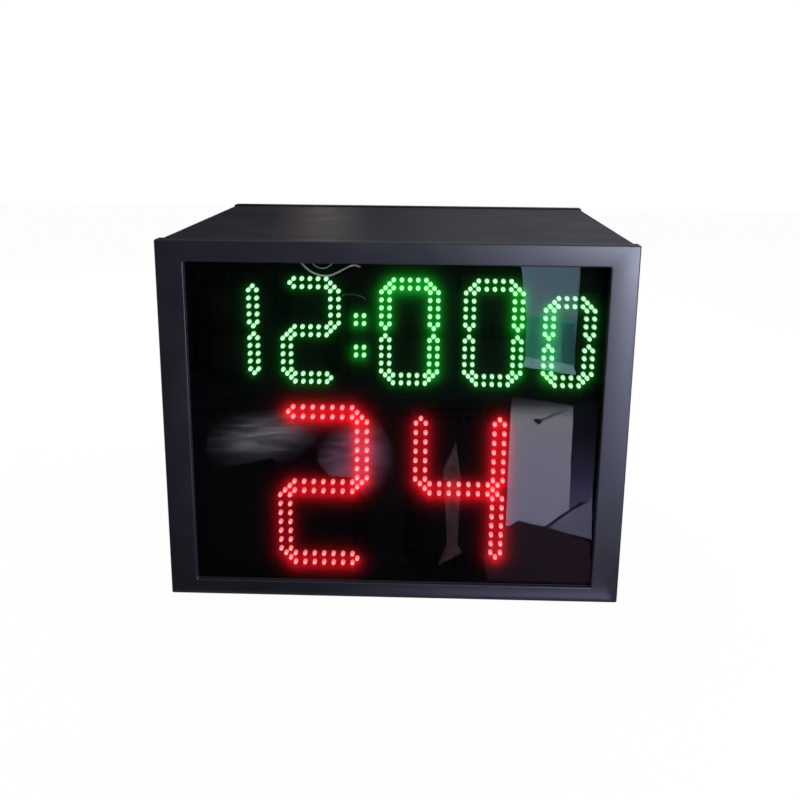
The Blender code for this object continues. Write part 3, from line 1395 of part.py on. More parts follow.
def build_leads():
    """The leads inside: mains, display supply, ribbon, control signal and siren."""
    black = finish("black_insulation", (0.03, 0.03, 0.03), 0.45)
    grey = finish("grey_insulation", (0.35, 0.35, 0.36), 0.50)
    terminals = SUPPLY_Y + SUPPLY_LENGTH / 2
    seat = FLOOR + SUPPLY_LEDGE_HEIGHT + CLEARANCE + TERMINAL_WELL + CLEARANCE
    strip_front = terminals - SUPPLY_LEDGE + TERMINAL_WALL
    well = (TERMINAL_COUNT / 2 - 0.5) * TERMINAL_PITCH

    radius = MAINS_LEAD_RADIUS
    inlet_back = RIM - INLET_BODY_DEPTH - INLET_TAB - CLEARANCE
    mains_x = SUPPLY_X - TERMINAL_PITCH
    route = (
        (INLET_X, inlet_back, CONNECTOR_HEIGHT),
        (INLET_X, inlet_back - LEAD_END, CONNECTOR_HEIGHT),
        (mains_x, terminals + 2 * LEAD_END, seat + radius),
        (mains_x, terminals + LEAD_END / 3, seat + radius),
        (mains_x, strip_front, seat + radius),
    )
    wire("mains_lead", route, radius, black, LEAD_SPACING)

    radius = DISPLAY_LEAD_RADIUS
    output_x = SUPPLY_X + well
    side_x = SUPPLY_X + SUPPLY_WIDTH / 2 + 3 * radius
    plug_x = DRIVER_X + POWER_SOCKET_X
    plug_z = DRIVER_MIDDLE + POWER_SOCKET_RISE
    rise_y = DRIVER_BACK + LEAD_STANDOFF
    low = FLOOR + 3 * radius
    route = (
        (output_x, strip_front, seat + radius),
        (output_x, terminals + LEAD_END / 4, seat + radius),
        (output_x + LEAD_END, terminals + LEAD_END, seat + radius),
        (side_x, terminals - LEAD_END, seat),
        (side_x, SUPPLY_Y, low),
        (side_x, rise_y + LEAD_BEND, low),
        (side_x, rise_y + LEAD_END, low + LEAD_END),
        (side_x + radius, rise_y, FLOOR + LEAD_BEND),
        (plug_x - 3 * radius, rise_y, DRIVER_MIDDLE - LEAD_BEND),
        (plug_x, rise_y, plug_z - PLUG_END),
        (plug_x, DRIVER_BACK + LEAD_STANDOFF / 2, plug_z),
        (plug_x, DRIVER_BACK + CLEARANCE, plug_z),
    )
    wire("display_lead", route, radius, black, LEAD_SPACING)

    header_top = FLOOR + STANDOFF_HEIGHT + BOARD_THICKNESS + HEADER_HEIGHT + CLEARANCE
    header_y = CONTROLLER_Y + HEADER_LINE
    drop_y = DRIVER_BACK + RIBBON_FOLD
    ribbon_z = DRIVER_MIDDLE + RIBBON_SOCKET_RISE
    path = (
        (DRIVER_BACK + CLEARANCE, ribbon_z),
        (drop_y, ribbon_z),
        (drop_y, RIBBON_LEAVES_PLATE),
        (header_y, header_top + RIBBON_OVER_HEADER),
        (header_y, header_top),
    )
    bends = filleted(path[:3], RIBBON_FOLD / 3) + filleted(path[1:], RIBBON_BEND)[1:]
    outline = folded_sheet(bends[:4] + bends[5:], RIBBON_THICKNESS)
    half = RIBBON_WIDTH / 2
    solid("ribbon_cable", prism(outline, "X", DRIVER_X - half, DRIVER_X + half), grey)

    radius = SOCKET_LEAD_RADIUS
    low = FLOOR + 3 * radius
    header_side = CONTROLLER_X + SIGNAL_HEADER_X + SIGNAL_HEADER_WIDTH / 2 + CLEARANCE
    board_top = FLOOR + STANDOFF_HEIGHT + BOARD_THICKNESS
    socket_back = RIM - SOCKET_BODY_DEPTH
    entry = board_top + HEADER_HEIGHT / 2
    route = (
        (SOCKET_X, socket_back - CLEARANCE, CONNECTOR_HEIGHT),
        (SOCKET_X, socket_back - LEAD_END, CONNECTOR_HEIGHT),
        (SOCKET_X, socket_back - LEAD_BEND - 3 * LEAD_END, low),
        (SOCKET_X - LEAD_BEND / 2, header_y + LEAD_BEND, low),
        (header_side + LEAD_BEND, header_y + LEAD_END, low),
        (header_side + 2 * PLUG_END, header_y, board_top + HEADER_HEIGHT / 4),
        (header_side + PLUG_END, header_y, entry),
        (header_side, header_y, entry),
    )
    wire("socket_lead", route, radius, black, LEAD_SPACING)

    radius = SIREN_LEAD_RADIUS
    low = FLOOR + 3 * radius
    relay_side = CONTROLLER_X + SIGNAL_HEADER_X + RELAY_SIDE / 2 + CLEARANCE
    relay_y = CONTROLLER_Y + RELAY_LINE
    siren_back = SIREN_Y - SIREN_DEPTH - CLEARANCE
    terminal_x = SIREN_X - (SIREN_RADIUS * 0.9 + SIREN_BOSS_RADIUS) / 2
    entry = board_top + RELAY_HEIGHT / 2
    route = (
        (terminal_x, siren_back, SIREN_Z),
        (terminal_x, siren_back - LEAD_END, SIREN_Z),
        (terminal_x - LEAD_END, siren_back - LEAD_BEND / 2, FLOOR + 2 * LEAD_END),
        (terminal_x - LEAD_BEND / 2, siren_back - LEAD_BEND, low),
        (relay_side + LEAD_BEND, relay_y, low),
        (relay_side + 2 * PLUG_END, relay_y, board_top + RELAY_HEIGHT / 4),
        (relay_side + PLUG_END, relay_y, entry),
        (relay_side, relay_y, entry),
    )
    wire("siren_lead", route, radius, black, LEAD_SPACING)


def main():
    """Builds the clock, from its front to its back."""
    clear_scene()
    build_front_frame()
    build_shell()
    build_window()
    build_display()
    build_display_wires()
    build_rear_frame()
    swing = build_door()
    build_hinges(swing)
    build_locks(swing)
    build_inlet()
    build_switch()
    build_socket()
    build_supply()
    build_controller()
    build_driver()
    build_siren()
    build_leads()


main()
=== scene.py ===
"""Looks of the LED shot clock: finishes, lamps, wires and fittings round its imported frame.

Metres, +Z up, the display towards -Y. A piece takes its place from a CAD node's box, or from a named size.
"""

import json
import logging
import math
from dataclasses import asdict, dataclass, field, replace
from enum import Enum
from typing import Callable, Sequence

import bmesh
import bpy
from mathutils import Matrix, Vector
from mathutils.kdtree import KDTree


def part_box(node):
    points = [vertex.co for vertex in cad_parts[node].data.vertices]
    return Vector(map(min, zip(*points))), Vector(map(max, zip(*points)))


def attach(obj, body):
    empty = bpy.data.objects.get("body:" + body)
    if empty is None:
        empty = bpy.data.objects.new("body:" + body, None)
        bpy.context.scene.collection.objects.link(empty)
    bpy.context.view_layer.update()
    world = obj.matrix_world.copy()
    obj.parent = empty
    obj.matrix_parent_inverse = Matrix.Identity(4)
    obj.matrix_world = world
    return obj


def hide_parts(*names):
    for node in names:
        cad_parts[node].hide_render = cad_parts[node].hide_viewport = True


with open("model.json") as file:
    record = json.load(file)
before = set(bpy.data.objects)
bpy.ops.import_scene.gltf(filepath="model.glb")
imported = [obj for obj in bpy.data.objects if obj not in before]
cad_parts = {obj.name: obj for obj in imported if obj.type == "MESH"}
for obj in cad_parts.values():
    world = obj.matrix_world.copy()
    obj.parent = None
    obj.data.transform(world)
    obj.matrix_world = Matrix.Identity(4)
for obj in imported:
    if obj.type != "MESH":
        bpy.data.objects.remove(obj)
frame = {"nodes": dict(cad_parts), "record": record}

LOG = logging.getLogger("shot_clock")
MM = 0.001
CLEARANCE = 0.3 * MM
WELD = 0.002 * MM
SIDES = 48
BACK = (0.0, 1.0, 0.0)
UP = (0.0, 0.0, 1.0)

Point = tuple[float, float]
Place = tuple[float, float, float]
Spot = tuple[Point, float]
Colour = tuple[float, float, float, float]
Shades = tuple[tuple[float, str], ...]
Shape = bmesh.types.BMesh
Thing = bpy.types.Object
Tree = bpy.types.NodeTree
Node = bpy.types.Node


class Body(Enum):
    """The CAD bodies that pieces ride on."""

    CABINET = "cabinet"
    DOOR = "door"
    LOCK_UPPER = "lock_upper"
    LOCK_LOWER = "lock_lower"
    ROCKER = "switch_rocker"


def linear(colour: str) -> Colour:
    """Turns an sRGB hex colour to linear light.

    Args:
        colour: Six hex digits.

    Returns:
        Linear red, green and blue, and an alpha of 1.
    """
    shares = [int(colour[start : start + 2], 16) / 255 for start in (0, 2, 4)]
    lit = [c / 12.92 if c <= 0.04045 else ((c + 0.055) / 1.055) ** 2.4 for c in shares]
    return (lit[0], lit[1], lit[2], 1.0)


def add_node(
    tree: Tree,
    kind: str,
    settings: dict[str, object] | None = None,
    inputs: dict[str | int, object] | None = None,
) -> Node:
    """Adds a shader node with its settings and links.

    Args:
        tree: The node tree that it goes in.
        kind: The node's type name.
        settings: Values of the node's own properties.
        inputs: Values of its sockets, or the output sockets that feed them.

    Returns:
        The new node.
    """
    node = tree.nodes.new(kind)
    for name, value in (settings or {}).items():
        setattr(node, name, value)
    for name, value in (inputs or {}).items():
        if isinstance(value, bpy.types.NodeSocket):
            tree.links.new(value, node.inputs[name])
        else:
            node.inputs[name].default_value = value
    return node


def new_material(name: str) -> bpy.types.Material:
    """Makes a material with its default shader."""
    material = bpy.data.materials.new(name)
    material.use_nodes = True
    return material


def placed(name: str, data: bpy.types.ID) -> Thing:
    """Puts a new object in the scene."""
    thing = bpy.data.objects.new(name, data)
    bpy.context.scene.collection.objects.link(thing)
    return thing


@dataclass(frozen=True)
class Finish:
    """A surface, made of one material in one way.

    Attributes:
        name: The real material and how its surface was made.
        slot: The record's material slot that it belongs to; not used.
        colour: Its sRGB colour.
        patch_colour: The sRGB colour of the soft patches in it.
        roughness: How far its gloss spreads.
        gloss_spread: How much the patches change the roughness.
        metallic: 1 for a metal.
        ior: Refractive index.
        specular: Level of the surface's reflection, where 0.5 is a plain dielectric.
        alpha: Share of the light that a thin sheet of it stops.
        patch: Size of the patches in mm.
        grain: Size of the relief in mm.
        relief: Depth of the relief in mm.
        stretch: How many times finer the grain is along X, Y and Z.
    """

    name: str
    slot: str
    colour: str
    patch_colour: str
    roughness: float
    gloss_spread: float = 0.06
    metallic: float = 0.0
    ior: float = 1.5
    specular: float = 0.5
    alpha: float = 1.0
    patch: float = 60.0
    grain: float = 1.2
    relief: float = 0.01
    stretch: Place = (1.0, 1.0, 1.0)

    def material(self) -> bpy.types.Material:
        """Makes the finish's material once.

        Returns:
            The material, the same one at each call.
        """
        found = bpy.data.materials.get(self.name)
        if found is not None:
            return found
        material = new_material(self.name)
        shader = material.node_tree.nodes["Principled BSDF"]
        shader.inputs["Metallic"].default_value = self.metallic
        shader.inputs["IOR"].default_value = self.ior
        shader.inputs["Specular IOR Level"].default_value = self.specular
        shader.inputs["Alpha"].default_value = self.alpha
        self.dress(material.node_tree, shader)
        return material

    def dress(self, tree: Tree, shader: Node) -> None:
        """Adds the patches of colour and gloss, and the relief.

        Args:
            tree: The material's node tree.
            shader: Its Principled shader.
        """
        place = add_node(tree, "ShaderNodeTexCoord").outputs["Object"]
        soft = {"Vector": place, "Scale": 1 / (self.patch * MM), "Detail": 3.0, "Roughness": 0.55}
        patches = add_node(tree, "ShaderNodeTexNoise", inputs=soft).outputs["Fac"]
        tones = {0: patches, 6: linear(self.colour), 7: linear(self.patch_colour)}
        colour = add_node(tree, "ShaderNodeMix", {"data_type": "RGBA"}, tones)
        tree.links.new(colour.outputs[2], shader.inputs["Base Color"])
        span = {"Value": patches, "From Min": 0.3, "From Max": 0.7}
        span |= {"To Min": self.roughness - self.gloss_spread, "To Max": self.roughness + self.gloss_spread}
        gloss = add_node(tree, "ShaderNodeMapRange", inputs=span)
        tree.links.new(gloss.outputs["Result"], shader.inputs["Roughness"])
        drawn = add_node(tree, "ShaderNodeMapping", inputs={"Vector": place, "Scale": self.stretch})
        fine = {"Vector": drawn.outputs["Vector"], "Scale": 1 / (self.grain * MM), "Detail": 2.0}
        grain = add_node(tree, "ShaderNodeTexNoise", inputs=fine).outputs["Fac"]
        depth = {"Height": grain, "Distance": self.relief * MM, "Strength": 1.0}
        bump = add_node(tree, "ShaderNodeBump", inputs=depth)
        tree.links.new(bump.outputs["Normal"], shader.inputs["Normal"])


@dataclass(frozen=True)
class LampLight(Finish):
    """The cast epoxy of a lamp that is lit: it glows from within.

    Attributes:
        light: The sRGB colour of the light.
        strength: Its strength, where 1 shows the colour as written.
    """

    light: str = "ffffff"
    strength: float = 1.0

    def dress(self, tree: Tree, shader: Node) -> None:
        """Adds the light to the lens."""
        super().dress(tree, shader)
        shader.inputs["Emission Color"].default_value = linear(self.light)
        shader.inputs["Emission Strength"].default_value = self.strength


@dataclass(frozen=True)
class GlowPaintedAcrylic(Finish):
    """A clear sheet with a glow painted on it round the lit lamps right behind it.

    Attributes:
        painted_glow: Strength of the glow painted on it from its glow attribute.
    """

    painted_glow: float = 1.0

    def dress(self, tree: Tree, shader: Node) -> None:
        """Adds the glow painted on each point of the sheet."""
        super().dress(tree, shader)
        glow = add_node(tree, "ShaderNodeAttribute", {"attribute_name": "glow"})
        tree.links.new(glow.outputs["Color"], shader.inputs["Emission Color"])
        shader.inputs["Emission Strength"].default_value = self.painted_glow


@dataclass(frozen=True)
class PerforatedSheet(Finish):
    """Sheet metal with rows of round vent holes, each drawn as a near-black disc of painted shade.

    Attributes:
        pitch: Distance from hole to hole in mm.
        hole: Diameter of a hole in mm.
    """

    pitch: float = 7.0
    hole: float = 4.5

    def dress(self, tree: Tree, shader: Node) -> None:
        """Paints the shade seen through each hole as a near-black disc."""
        super().dress(tree, shader)
        place = add_node(tree, "ShaderNodeTexCoord").outputs["Object"]
        rows = {"Vector": place, "Scale": 1 / (self.pitch * MM), "Randomness": 0.0}
        cells = add_node(tree, "ShaderNodeTexVoronoi", {"voronoi_dimensions": "2D"}, rows)
        radius = {0: cells.outputs["Distance"], 1: self.hole / self.pitch / 2}
        # inside marks each hole, where the shade seen through it is painted.
        inside = add_node(tree, "ShaderNodeMath", {"operation": "LESS_THAN"}, radius)
        base = shader.inputs["Base Color"]
        tones = {0: inside.outputs[0], 6: base.links[0].from_socket, 7: (0.002, 0.002, 0.002, 1.0)}
        shade_in_holes = add_node(tree, "ShaderNodeMix", {"data_type": "RGBA"}, tones)
        tree.links.new(shade_in_holes.outputs[2], base)


# Polyester powder, sprayed on steel and baked: satin black with a blue cast and a fine orange peel. The
# peel is drawn at 1.6 mm, coarser than the real 0.8 mm, so that it shows.
POWDER_COAT = Finish(
    "polyester_powder_coat_baked", "black_powder_coat", "15161b", "1d1e24", 0.42, 0.05,
    specular=0.07, grain=1.6, relief=0.015,
)
# The same powder on the front frame, where hands have rubbed it to a higher gloss: it takes on window light.
RUBBED_COAT = Finish(
    "polyester_powder_coat_rubbed", "black_powder_coat", "121318", "1a1b21", 0.40, 0.04,
    specular=0.17, grain=1.6, relief=0.012,
)
# Flat black paint on the display's plate: dead matt, so that only the lamps show.
FLAT_BLACK = Finish(
    "flat_black_paint_sprayed", "black_powder_coat", "0b0b0c", "0f0f10", 0.9, 0.04,
    specular=0.03, relief=0.02,
)
# Steel screws, blackened in oil: dull black with a faint sheen on the edges.
BLACKENED_STEEL = Finish(
    "steel_screw_blackened", "black_powder_coat", "232326", "2c2c30", 0.38, 0.08, 0.6, patch=2.0, grain=0.5
)
# Zinc plating on steel: a cool grey metal with soft cloudy patches.
ZINC = Finish(
    "zinc_plated_steel", "zinc_plated_steel", "a9acb0", "8e9298", 0.36, 0.10, 1.0,
    patch=9.0, grain=0.8, relief=0.004,
)
# Polished chromium over brass: a clear bright mirror with a few hazy marks.
CHROME = Finish(
    "chromed_brass_polished", "chromed_metal", "d3d5d8", "c4c7cc", 0.14, 0.05, 1.0,
    patch=6.0, grain=0.8, relief=0.001,
)
# Rolled aluminium sheet: a pale metal with fine lines along its roll direction.
ALUMINIUM = Finish(
    "aluminium_sheet_rolled", "aluminium_case", "c6c8ca", "b4b7ba", 0.38, 0.08, 1.0,
    patch=30.0, grain=2.0, relief=0.006, stretch=(6.0, 0.25, 6.0),
)
# The same sheet over the warm parts, its rows of 4.5 mm vent holes drawn as discs of painted shade.
VENTED_ALUMINIUM = PerforatedSheet(**asdict(ALUMINIUM) | {"name": "aluminium_sheet_perforated"})
# Foamed rubber, cut from sheet: matt black with open pores.
RUBBER = Finish(
    "epdm_rubber_foamed", "black_rubber", "151515", "1f1f1f", 0.88, 0.05,
    specular=0.3, patch=8.0, grain=0.6, relief=0.10,
)
# Cast acrylic, smoked: almost black, clear as glass, and mirror smooth but for the film that wiping leaves.
# A glow is painted on it round the lit lamps.
SMOKED_ACRYLIC = GlowPaintedAcrylic(
    "smoked_acrylic_cast", "tinted_acrylic", "030304", "050507", 0.006, 0.003,
    ior=1.49, alpha=0.3, patch=90.0, grain=140.0, relief=0.003, painted_glow=3.4,
)
# Glass-filled nylon, moulded black: low gloss with a fine spark-eroded texture.
BLACK_NYLON = Finish("black_nylon_moulded", "black_plastic", "191919", "222223", 0.45, patch=12.0, grain=0.5)
# Polycarbonate, moulded red: glossy and even.
RED_POLYCARBONATE = Finish(
    "red_polycarbonate_moulded", "red_plastic", "a3141a", "8f0f15", 0.28, 0.05,
    patch=10.0, grain=0.6, relief=0.004,
)
# Glass-fibre board under green solder mask: glossy green.
GREEN_BOARD = Finish(
    "glass_fibre_board_green_mask", "circuit_board", "0f4a2a", "0b3a22", 0.32,
    patch=3.0, grain=0.7, relief=0.02,
)
# Glass-fibre board under matt black mask: nearly black, with a faint painted tint of its lamps' light.
GREEN_LAMP_BOARD = Finish(
    "glass_fibre_board_black_mask_green", "green_display", "060806", "070907", 0.8, specular=0.03, patch=5.0
)
RED_LAMP_BOARD = Finish(
    "glass_fibre_board_black_mask_red", "red_display", "070506", "090607", 0.8, specular=0.03, patch=5.0
)
# Transfer-moulded epoxy of a chip: dull charcoal.
BLACK_EPOXY = Finish(
    "epoxy_chip_moulded", "black_plastic", "1a1a1c", "212124", 0.55, 0.05, patch=4.0, grain=0.4
)
# Heat-shrunk polyester sleeve of a capacitor: glossy dark blue.
BLUE_SLEEVE = Finish(
    "polyester_sleeve_shrunk", "black_plastic", "14233f", "1a2b4a", 0.25, 0.05, patch=4.0, grain=1.0
)
# Gold flash on brass contacts: warm and bright.
GOLD_FLASH = Finish(
    "brass_pin_gold_flashed", "chromed_metal", "d6ad5c", "c69b4a", 0.22, 0.05, 1.0, patch=2.0
)
# White ink, pad-printed on plastic: flat and clean.
WHITE_INK = Finish(
    "ink_pad_printed", "white_insulation", "e6e6e2", "dadad6", 0.6, 0.05, patch=3.0, grain=0.5
)
# Extruded PVC insulation: soft sheen, slightly uneven.
WHITE_PVC = Finish("white_pvc_extruded", "white_insulation", "f2f2ee", "e2e2dc", 0.38, patch=14.0, grain=1.5)
BLACK_PVC = Finish("black_pvc_extruded", "black_insulation", "1d1d1e", "262627", 0.42, patch=14.0, grain=1.5)
# The colon lead: black PVC painted grey-brown, a painted sheen of the light along it.
SHEEN_PAINTED_PVC = Finish("black_pvc_sheen_painted", "black_insulation", "4b4541", "57504b", 0.34, patch=14.0, grain=1.5)
# Flat ribbon of 20 cores at 1.27 mm, moulded in grey PVC: fine ribs along its run.
GREY_PVC = Finish(
    "grey_pvc_ribbon", "grey_insulation", "8d8f92", "74767a", 0.45, 0.05,
    patch=14.0, grain=1.27, relief=0.30, stretch=(1.0, 0.02, 0.02),
)
# Cast epoxy of a lamp that is off: smoky and dull behind the panel.
DARK_LENS = Finish(
    "epoxy_lens_cast_unlit", "green_display", "0a0a0b", "0b0b0c", 0.97, 0.02, specular=0.0, grain=2.0
)
# Cast epoxy of a lamp that is lit: a pale core in the dome, and the colour of the light in the body. The
# overdriven ones are whiter and brighter.
GREEN_TIP = LampLight(
    "epoxy_dome_cast_lit_green", "green_display", "20c050", "20c050", 0.3, light="c8ffcf", strength=2.15
)
GREEN_BODY = replace(GREEN_TIP, name="epoxy_body_cast_lit_green", light="c0f5c6", strength=1.3)
STRONG_TIP = replace(GREEN_TIP, name="epoxy_dome_cast_overdriven_green", light="b0ffb6", strength=2.5)
STRONG_BODY = replace(GREEN_TIP, name="epoxy_body_cast_overdriven_green", light="a0ffa8", strength=1.5)
RED_TIP = LampLight(
    "epoxy_dome_cast_lit_red", "red_display", "c01020", "c01020", 0.3, light="ffaeae", strength=1.9
)
RED_BODY = replace(RED_TIP, name="epoxy_body_cast_lit_red", light="ff8486", strength=1.5)


@dataclass(frozen=True)
class Rect:
    """An upright rectangle across the cabinet, seen from the front.

    Attributes:
        left: X of its left side.
        right: X of its right side.
        bottom: Z of its lower side.
        top: Z of its upper side.
    """

    left: float
    right: float
    bottom: float
    top: float

    @classmethod
    def of(cls, node: str) -> "Rect":
        """Gives the outline of a CAD node."""
        low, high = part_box(node)
        return cls(low.x, high.x, low.z, high.z)

    def inset(self, by: float) -> "Rect":
        """Gives the rectangle with every side moved inwards."""
        return Rect(self.left + by, self.right - by, self.bottom + by, self.top - by)

    def loop(self, radius: float, y: float, steps: int = 6) -> list[Place]:
        """Draws the rectangle with rounded corners at one depth.

        Args:
            radius: Radius of the corners.
            y: The depth.
            steps: Straight pieces in each corner.

        Returns:
            The points, the same number for every rectangle.
        """
        inner = self.inset(radius)
        centres = ((inner.right, inner.top), (inner.left, inner.top))
        centres += ((inner.left, inner.bottom), (inner.right, inner.bottom))
        points = []
        for quarter, (x, z) in enumerate(centres):
            for step in range(steps + 1):
                angle = math.pi / 2 * (quarter + step / steps)
                points.append((x + radius * math.cos(angle), y, z + radius * math.sin(angle)))
        return points


def circle(radius: float, y: float, sides: int = SIDES) -> list[Place]:
    """Draws a circle about the Y axis."""
    turns = [2 * math.pi * side / sides for side in range(sides)]
    return [(radius * math.cos(turn), y, radius * math.sin(turn)) for turn in turns]


def cross(reach: float, y: float) -> list[Place]:
    """Draws the cross of a screw's recess about the Y axis.

    Args:
        reach: From the middle to the end of an arm.
        y: The depth.

    Returns:
        The points, as many as a circle's.
    """
    half_width = 0.34 * reach
    points = []
    for x, _, z in circle(1.0, y):
        u, v = max(abs(x), 1e-6), max(abs(z), 1e-6)
        radius = max(min(reach / u, half_width / v), min(half_width / u, reach / v))
        points.append((radius * x, y, radius * z))
    return points


def skin(loops: Sequence[Sequence[Place]], closed: bool = False) -> Shape:
    """Lays faces between loops that have one number of points.

    Args:
        loops: The loops in order.
        closed: Whether the last loop joins the first; if not, both ends are capped.

    Returns:
        The shape.
    """
    shape = bmesh.new()
    rows = [[shape.verts.new(point) for point in loop] for loop in loops]
    pairs = list(zip(rows, rows[1:]))
    if closed:
        pairs.append((rows[-1], rows[0]))
    else:
        shape.faces.new(rows[0])
        shape.faces.new(rows[-1])
    for near, far in pairs:
        for index in range(len(near)):
            after = (index + 1) % len(near)
            shape.faces.new((near[after], near[index], far[index], far[after]))
    return shape


def turned(profile: Sequence[Point], sides: int = SIDES, bored: bool = False) -> Shape:
    """Turns a profile about the Y axis.

    Args:
        profile: Places along the axis, each with its radius.
        sides: Number of flats round the shape.
        bored: Whether the profile closes on itself, which leaves a bore.

    Returns:
        The shape.
    """
    return skin([circle(radius, along, sides) for along, radius in profile], bored)


def stood(shape: Shape, place: Sequence[float], towards: Sequence[float] = BACK) -> Shape:
    """Stands a shape that was made at the origin, facing +Y, in its place.

    Args:
        shape: The shape.
        place: Where its origin goes.
        towards: Where it faces.

    Returns:
        The same shape.
    """
    turn = Vector(BACK).rotation_difference(Vector(towards)).to_matrix().to_4x4()
    bmesh.ops.transform(shape, matrix=Matrix.Translation(place) @ turn, verts=shape.verts)
    return shape


def block(low: Place, high: Place) -> Shape:
    """Makes a rectangular solid between two corners."""
    corners = ((low[0], low[1]), (high[0], low[1]), (high[0], high[1]), (low[0], high[1]))
    return skin([[(x, y, z) for x, y in corners] for z in (low[2], high[2])])


def merged(*groups: Sequence[Shape]) -> Shape:
    """Puts groups of shapes in one, each group with its own material number."""
    whole = bmesh.new()
    for number, shapes in enumerate(groups):
        for shape in shapes:
            bmesh.ops.recalc_face_normals(shape, faces=shape.faces)
            for face in shape.faces:
                face.material_index = number
            mesh = bpy.data.meshes.new("merging")
            shape.to_mesh(mesh)
            shape.free()
            whole.from_mesh(mesh)
            bpy.data.meshes.remove(mesh)
    return whole


def body_of(node: str) -> Body:
    """Gives the body that a CAD node belongs to."""
    bodies = frame["record"]["behaviour"]["bodies"]
    return next(Body(name) for name, members in bodies.items() if node in members)


def make_piece(
    name: str, shape: Shape, finishes: Sequence[Finish], body: Body, crease: float = 35.0
) -> Thing:
    """Turns a shape into a finished piece that rides on a body.

    Args:
        name: The piece's name.
        shape: Its shape, in place; it is used up.
        finishes: Its finishes, in the order of the faces' material numbers.
        body: The body that it rides on.
        crease: Edges sharper than this many degrees stay crisp.

    Returns:
        The piece.
    """
    bmesh.ops.recalc_face_normals(shape, faces=shape.faces)
    mesh = bpy.data.meshes.new(name)
    shape.to_mesh(mesh)
    shape.free()
    for finish in finishes:
        mesh.materials.append(finish.material())
    mesh.shade_smooth()
    mesh.set_sharp_from_angle(angle=math.radians(crease))
    piece = placed(name, mesh)
    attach(piece, body.value)
    return piece


def stand_in(node: str, suffix: str, shape: Shape, finishes: Sequence[Finish], crease: float = 35.0) -> None:
    """Puts a piece in a CAD node's stead, on the node's body.

    Args:
        node: The CAD node.
        suffix: What the piece's name adds to the node's.
        shape: The piece's shape, in place; it is used up.
        finishes: Its finishes, in the order of the faces' material numbers.
        crease: Edges sharper than this many degrees stay crisp.
    """
    piece = make_piece(f"{node}_{suffix}", shape, finishes, body_of(node), crease)
    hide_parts(node)


def ease(piece: Thing, width: float) -> None:
    """Rounds the sharp edges of a piece by a small width, and keeps its flats flat."""
    rounding = piece.modifiers.new("eased_edges", "BEVEL")
    rounding.width = width
    rounding.segments = 2
    rounding.limit_method = "ANGLE"
    rounding.angle_limit = math.radians(28)
    flats = piece.modifiers.new("flats_kept_flat", "WEIGHTED_NORMAL")
    flats.weight = 100
    flats.keep_sharp = True


def welded_copy(node: str) -> Shape:
    """Copies a CAD node's mesh with its points joined."""
    shape = bmesh.new()
    shape.from_mesh(frame["nodes"][node].data)
    bmesh.ops.remove_doubles(shape, verts=shape.verts, dist=WELD)
    return shape


def eased_copy(
    node: str,
    finishes: Finish | Sequence[Finish],
    width: float,
    number: Callable[[Vector], int] | None = None,
) -> None:
    """Stands a copy with rounded edges in for a CAD node.

    Args:
        node: The CAD node.
        finishes: The copy's finish, or its finishes in order.
        width: Width of the rounding.
        number: Gives the number of the finish of a face from the middle of the face.
    """
    shape = welded_copy(node)
    bmesh.ops.dissolve_limit(shape, angle_limit=math.radians(1), verts=shape.verts, edges=shape.edges)
    for face in shape.faces:
        face.material_index = number(face.calc_center_median()) if number else 0
    chosen = [finishes] if isinstance(finishes, Finish) else finishes
    piece = make_piece(f"{node}_surface", shape, chosen, body_of(node), 180.0)
    ease(piece, width)
    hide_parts(node)


def dress_node(node: str, finish: Finish) -> None:
    """Gives a CAD node that stays its finish."""
    thing = frame["nodes"][node]
    thing.data.materials.clear()
    thing.data.materials.append(finish.material())


def rounded_wire(node: str, finish: Finish, radius: float) -> None:
    """Stands a round, smooth wire in for a CAD wire that has six flats.

    Args:
        node: The CAD wire.
        finish: Its insulation.
        radius: Its radius.
    """
    shape = welded_copy(node)
    limits = {"angle_face_threshold": math.radians(30), "angle_shape_threshold": math.pi}
    bmesh.ops.join_triangles(shape, faces=shape.faces, **limits)
    shape.normal_update()
    growth = 0.2 * radius
    for vertex in shape.verts:
        sides = [face.normal for face in vertex.link_faces if len(face.verts) < 5]
        vertex.co += sum(sides, Vector()).normalized() * growth
    end = math.radians(75)
    crease = shape.edges.layers.float.new("crease_edge")
    for edge in shape.edges:
        if len(edge.link_faces) == 2 and edge.calc_face_angle() > end:
            edge[crease] = 1.0
    piece = make_piece(f"{node}_round", shape, [finish], body_of(node), 75.0)
    smoothing = piece.modifiers.new("round_section", "SUBSURF")
    smoothing.levels = 2
    smoothing.render_levels = 2
    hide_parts(node)


def pan_head(radius: float, rise: float) -> Shape:
    """Makes the head of a screw with a cross recess, at the origin and facing +Y."""
    loops = [circle(radius, 0.0), circle(radius, 0.3 * rise), circle(0.86 * radius, 0.78 * rise)]
    loops += [circle(0.66 * radius, rise), cross(0.55 * radius, rise), cross(0.42 * radius, 0.35 * rise)]
    return skin(loops)


def make_screws(name: str, spots: Sequence[tuple[Place, Place]], head: Point, finish: Finish) -> None:
    """Makes screws, all in one piece on the cabinet.

    Args:
        name: The piece's name.
        spots: Each screw's place, and where its head faces.
        head: Radius and height of a head.
        finish: The screws' finish.
    """
    heads = [stood(pan_head(*head), place, towards) for place, towards in spots]
    make_piece(name, merged(heads), [finish], Body.CABINET)


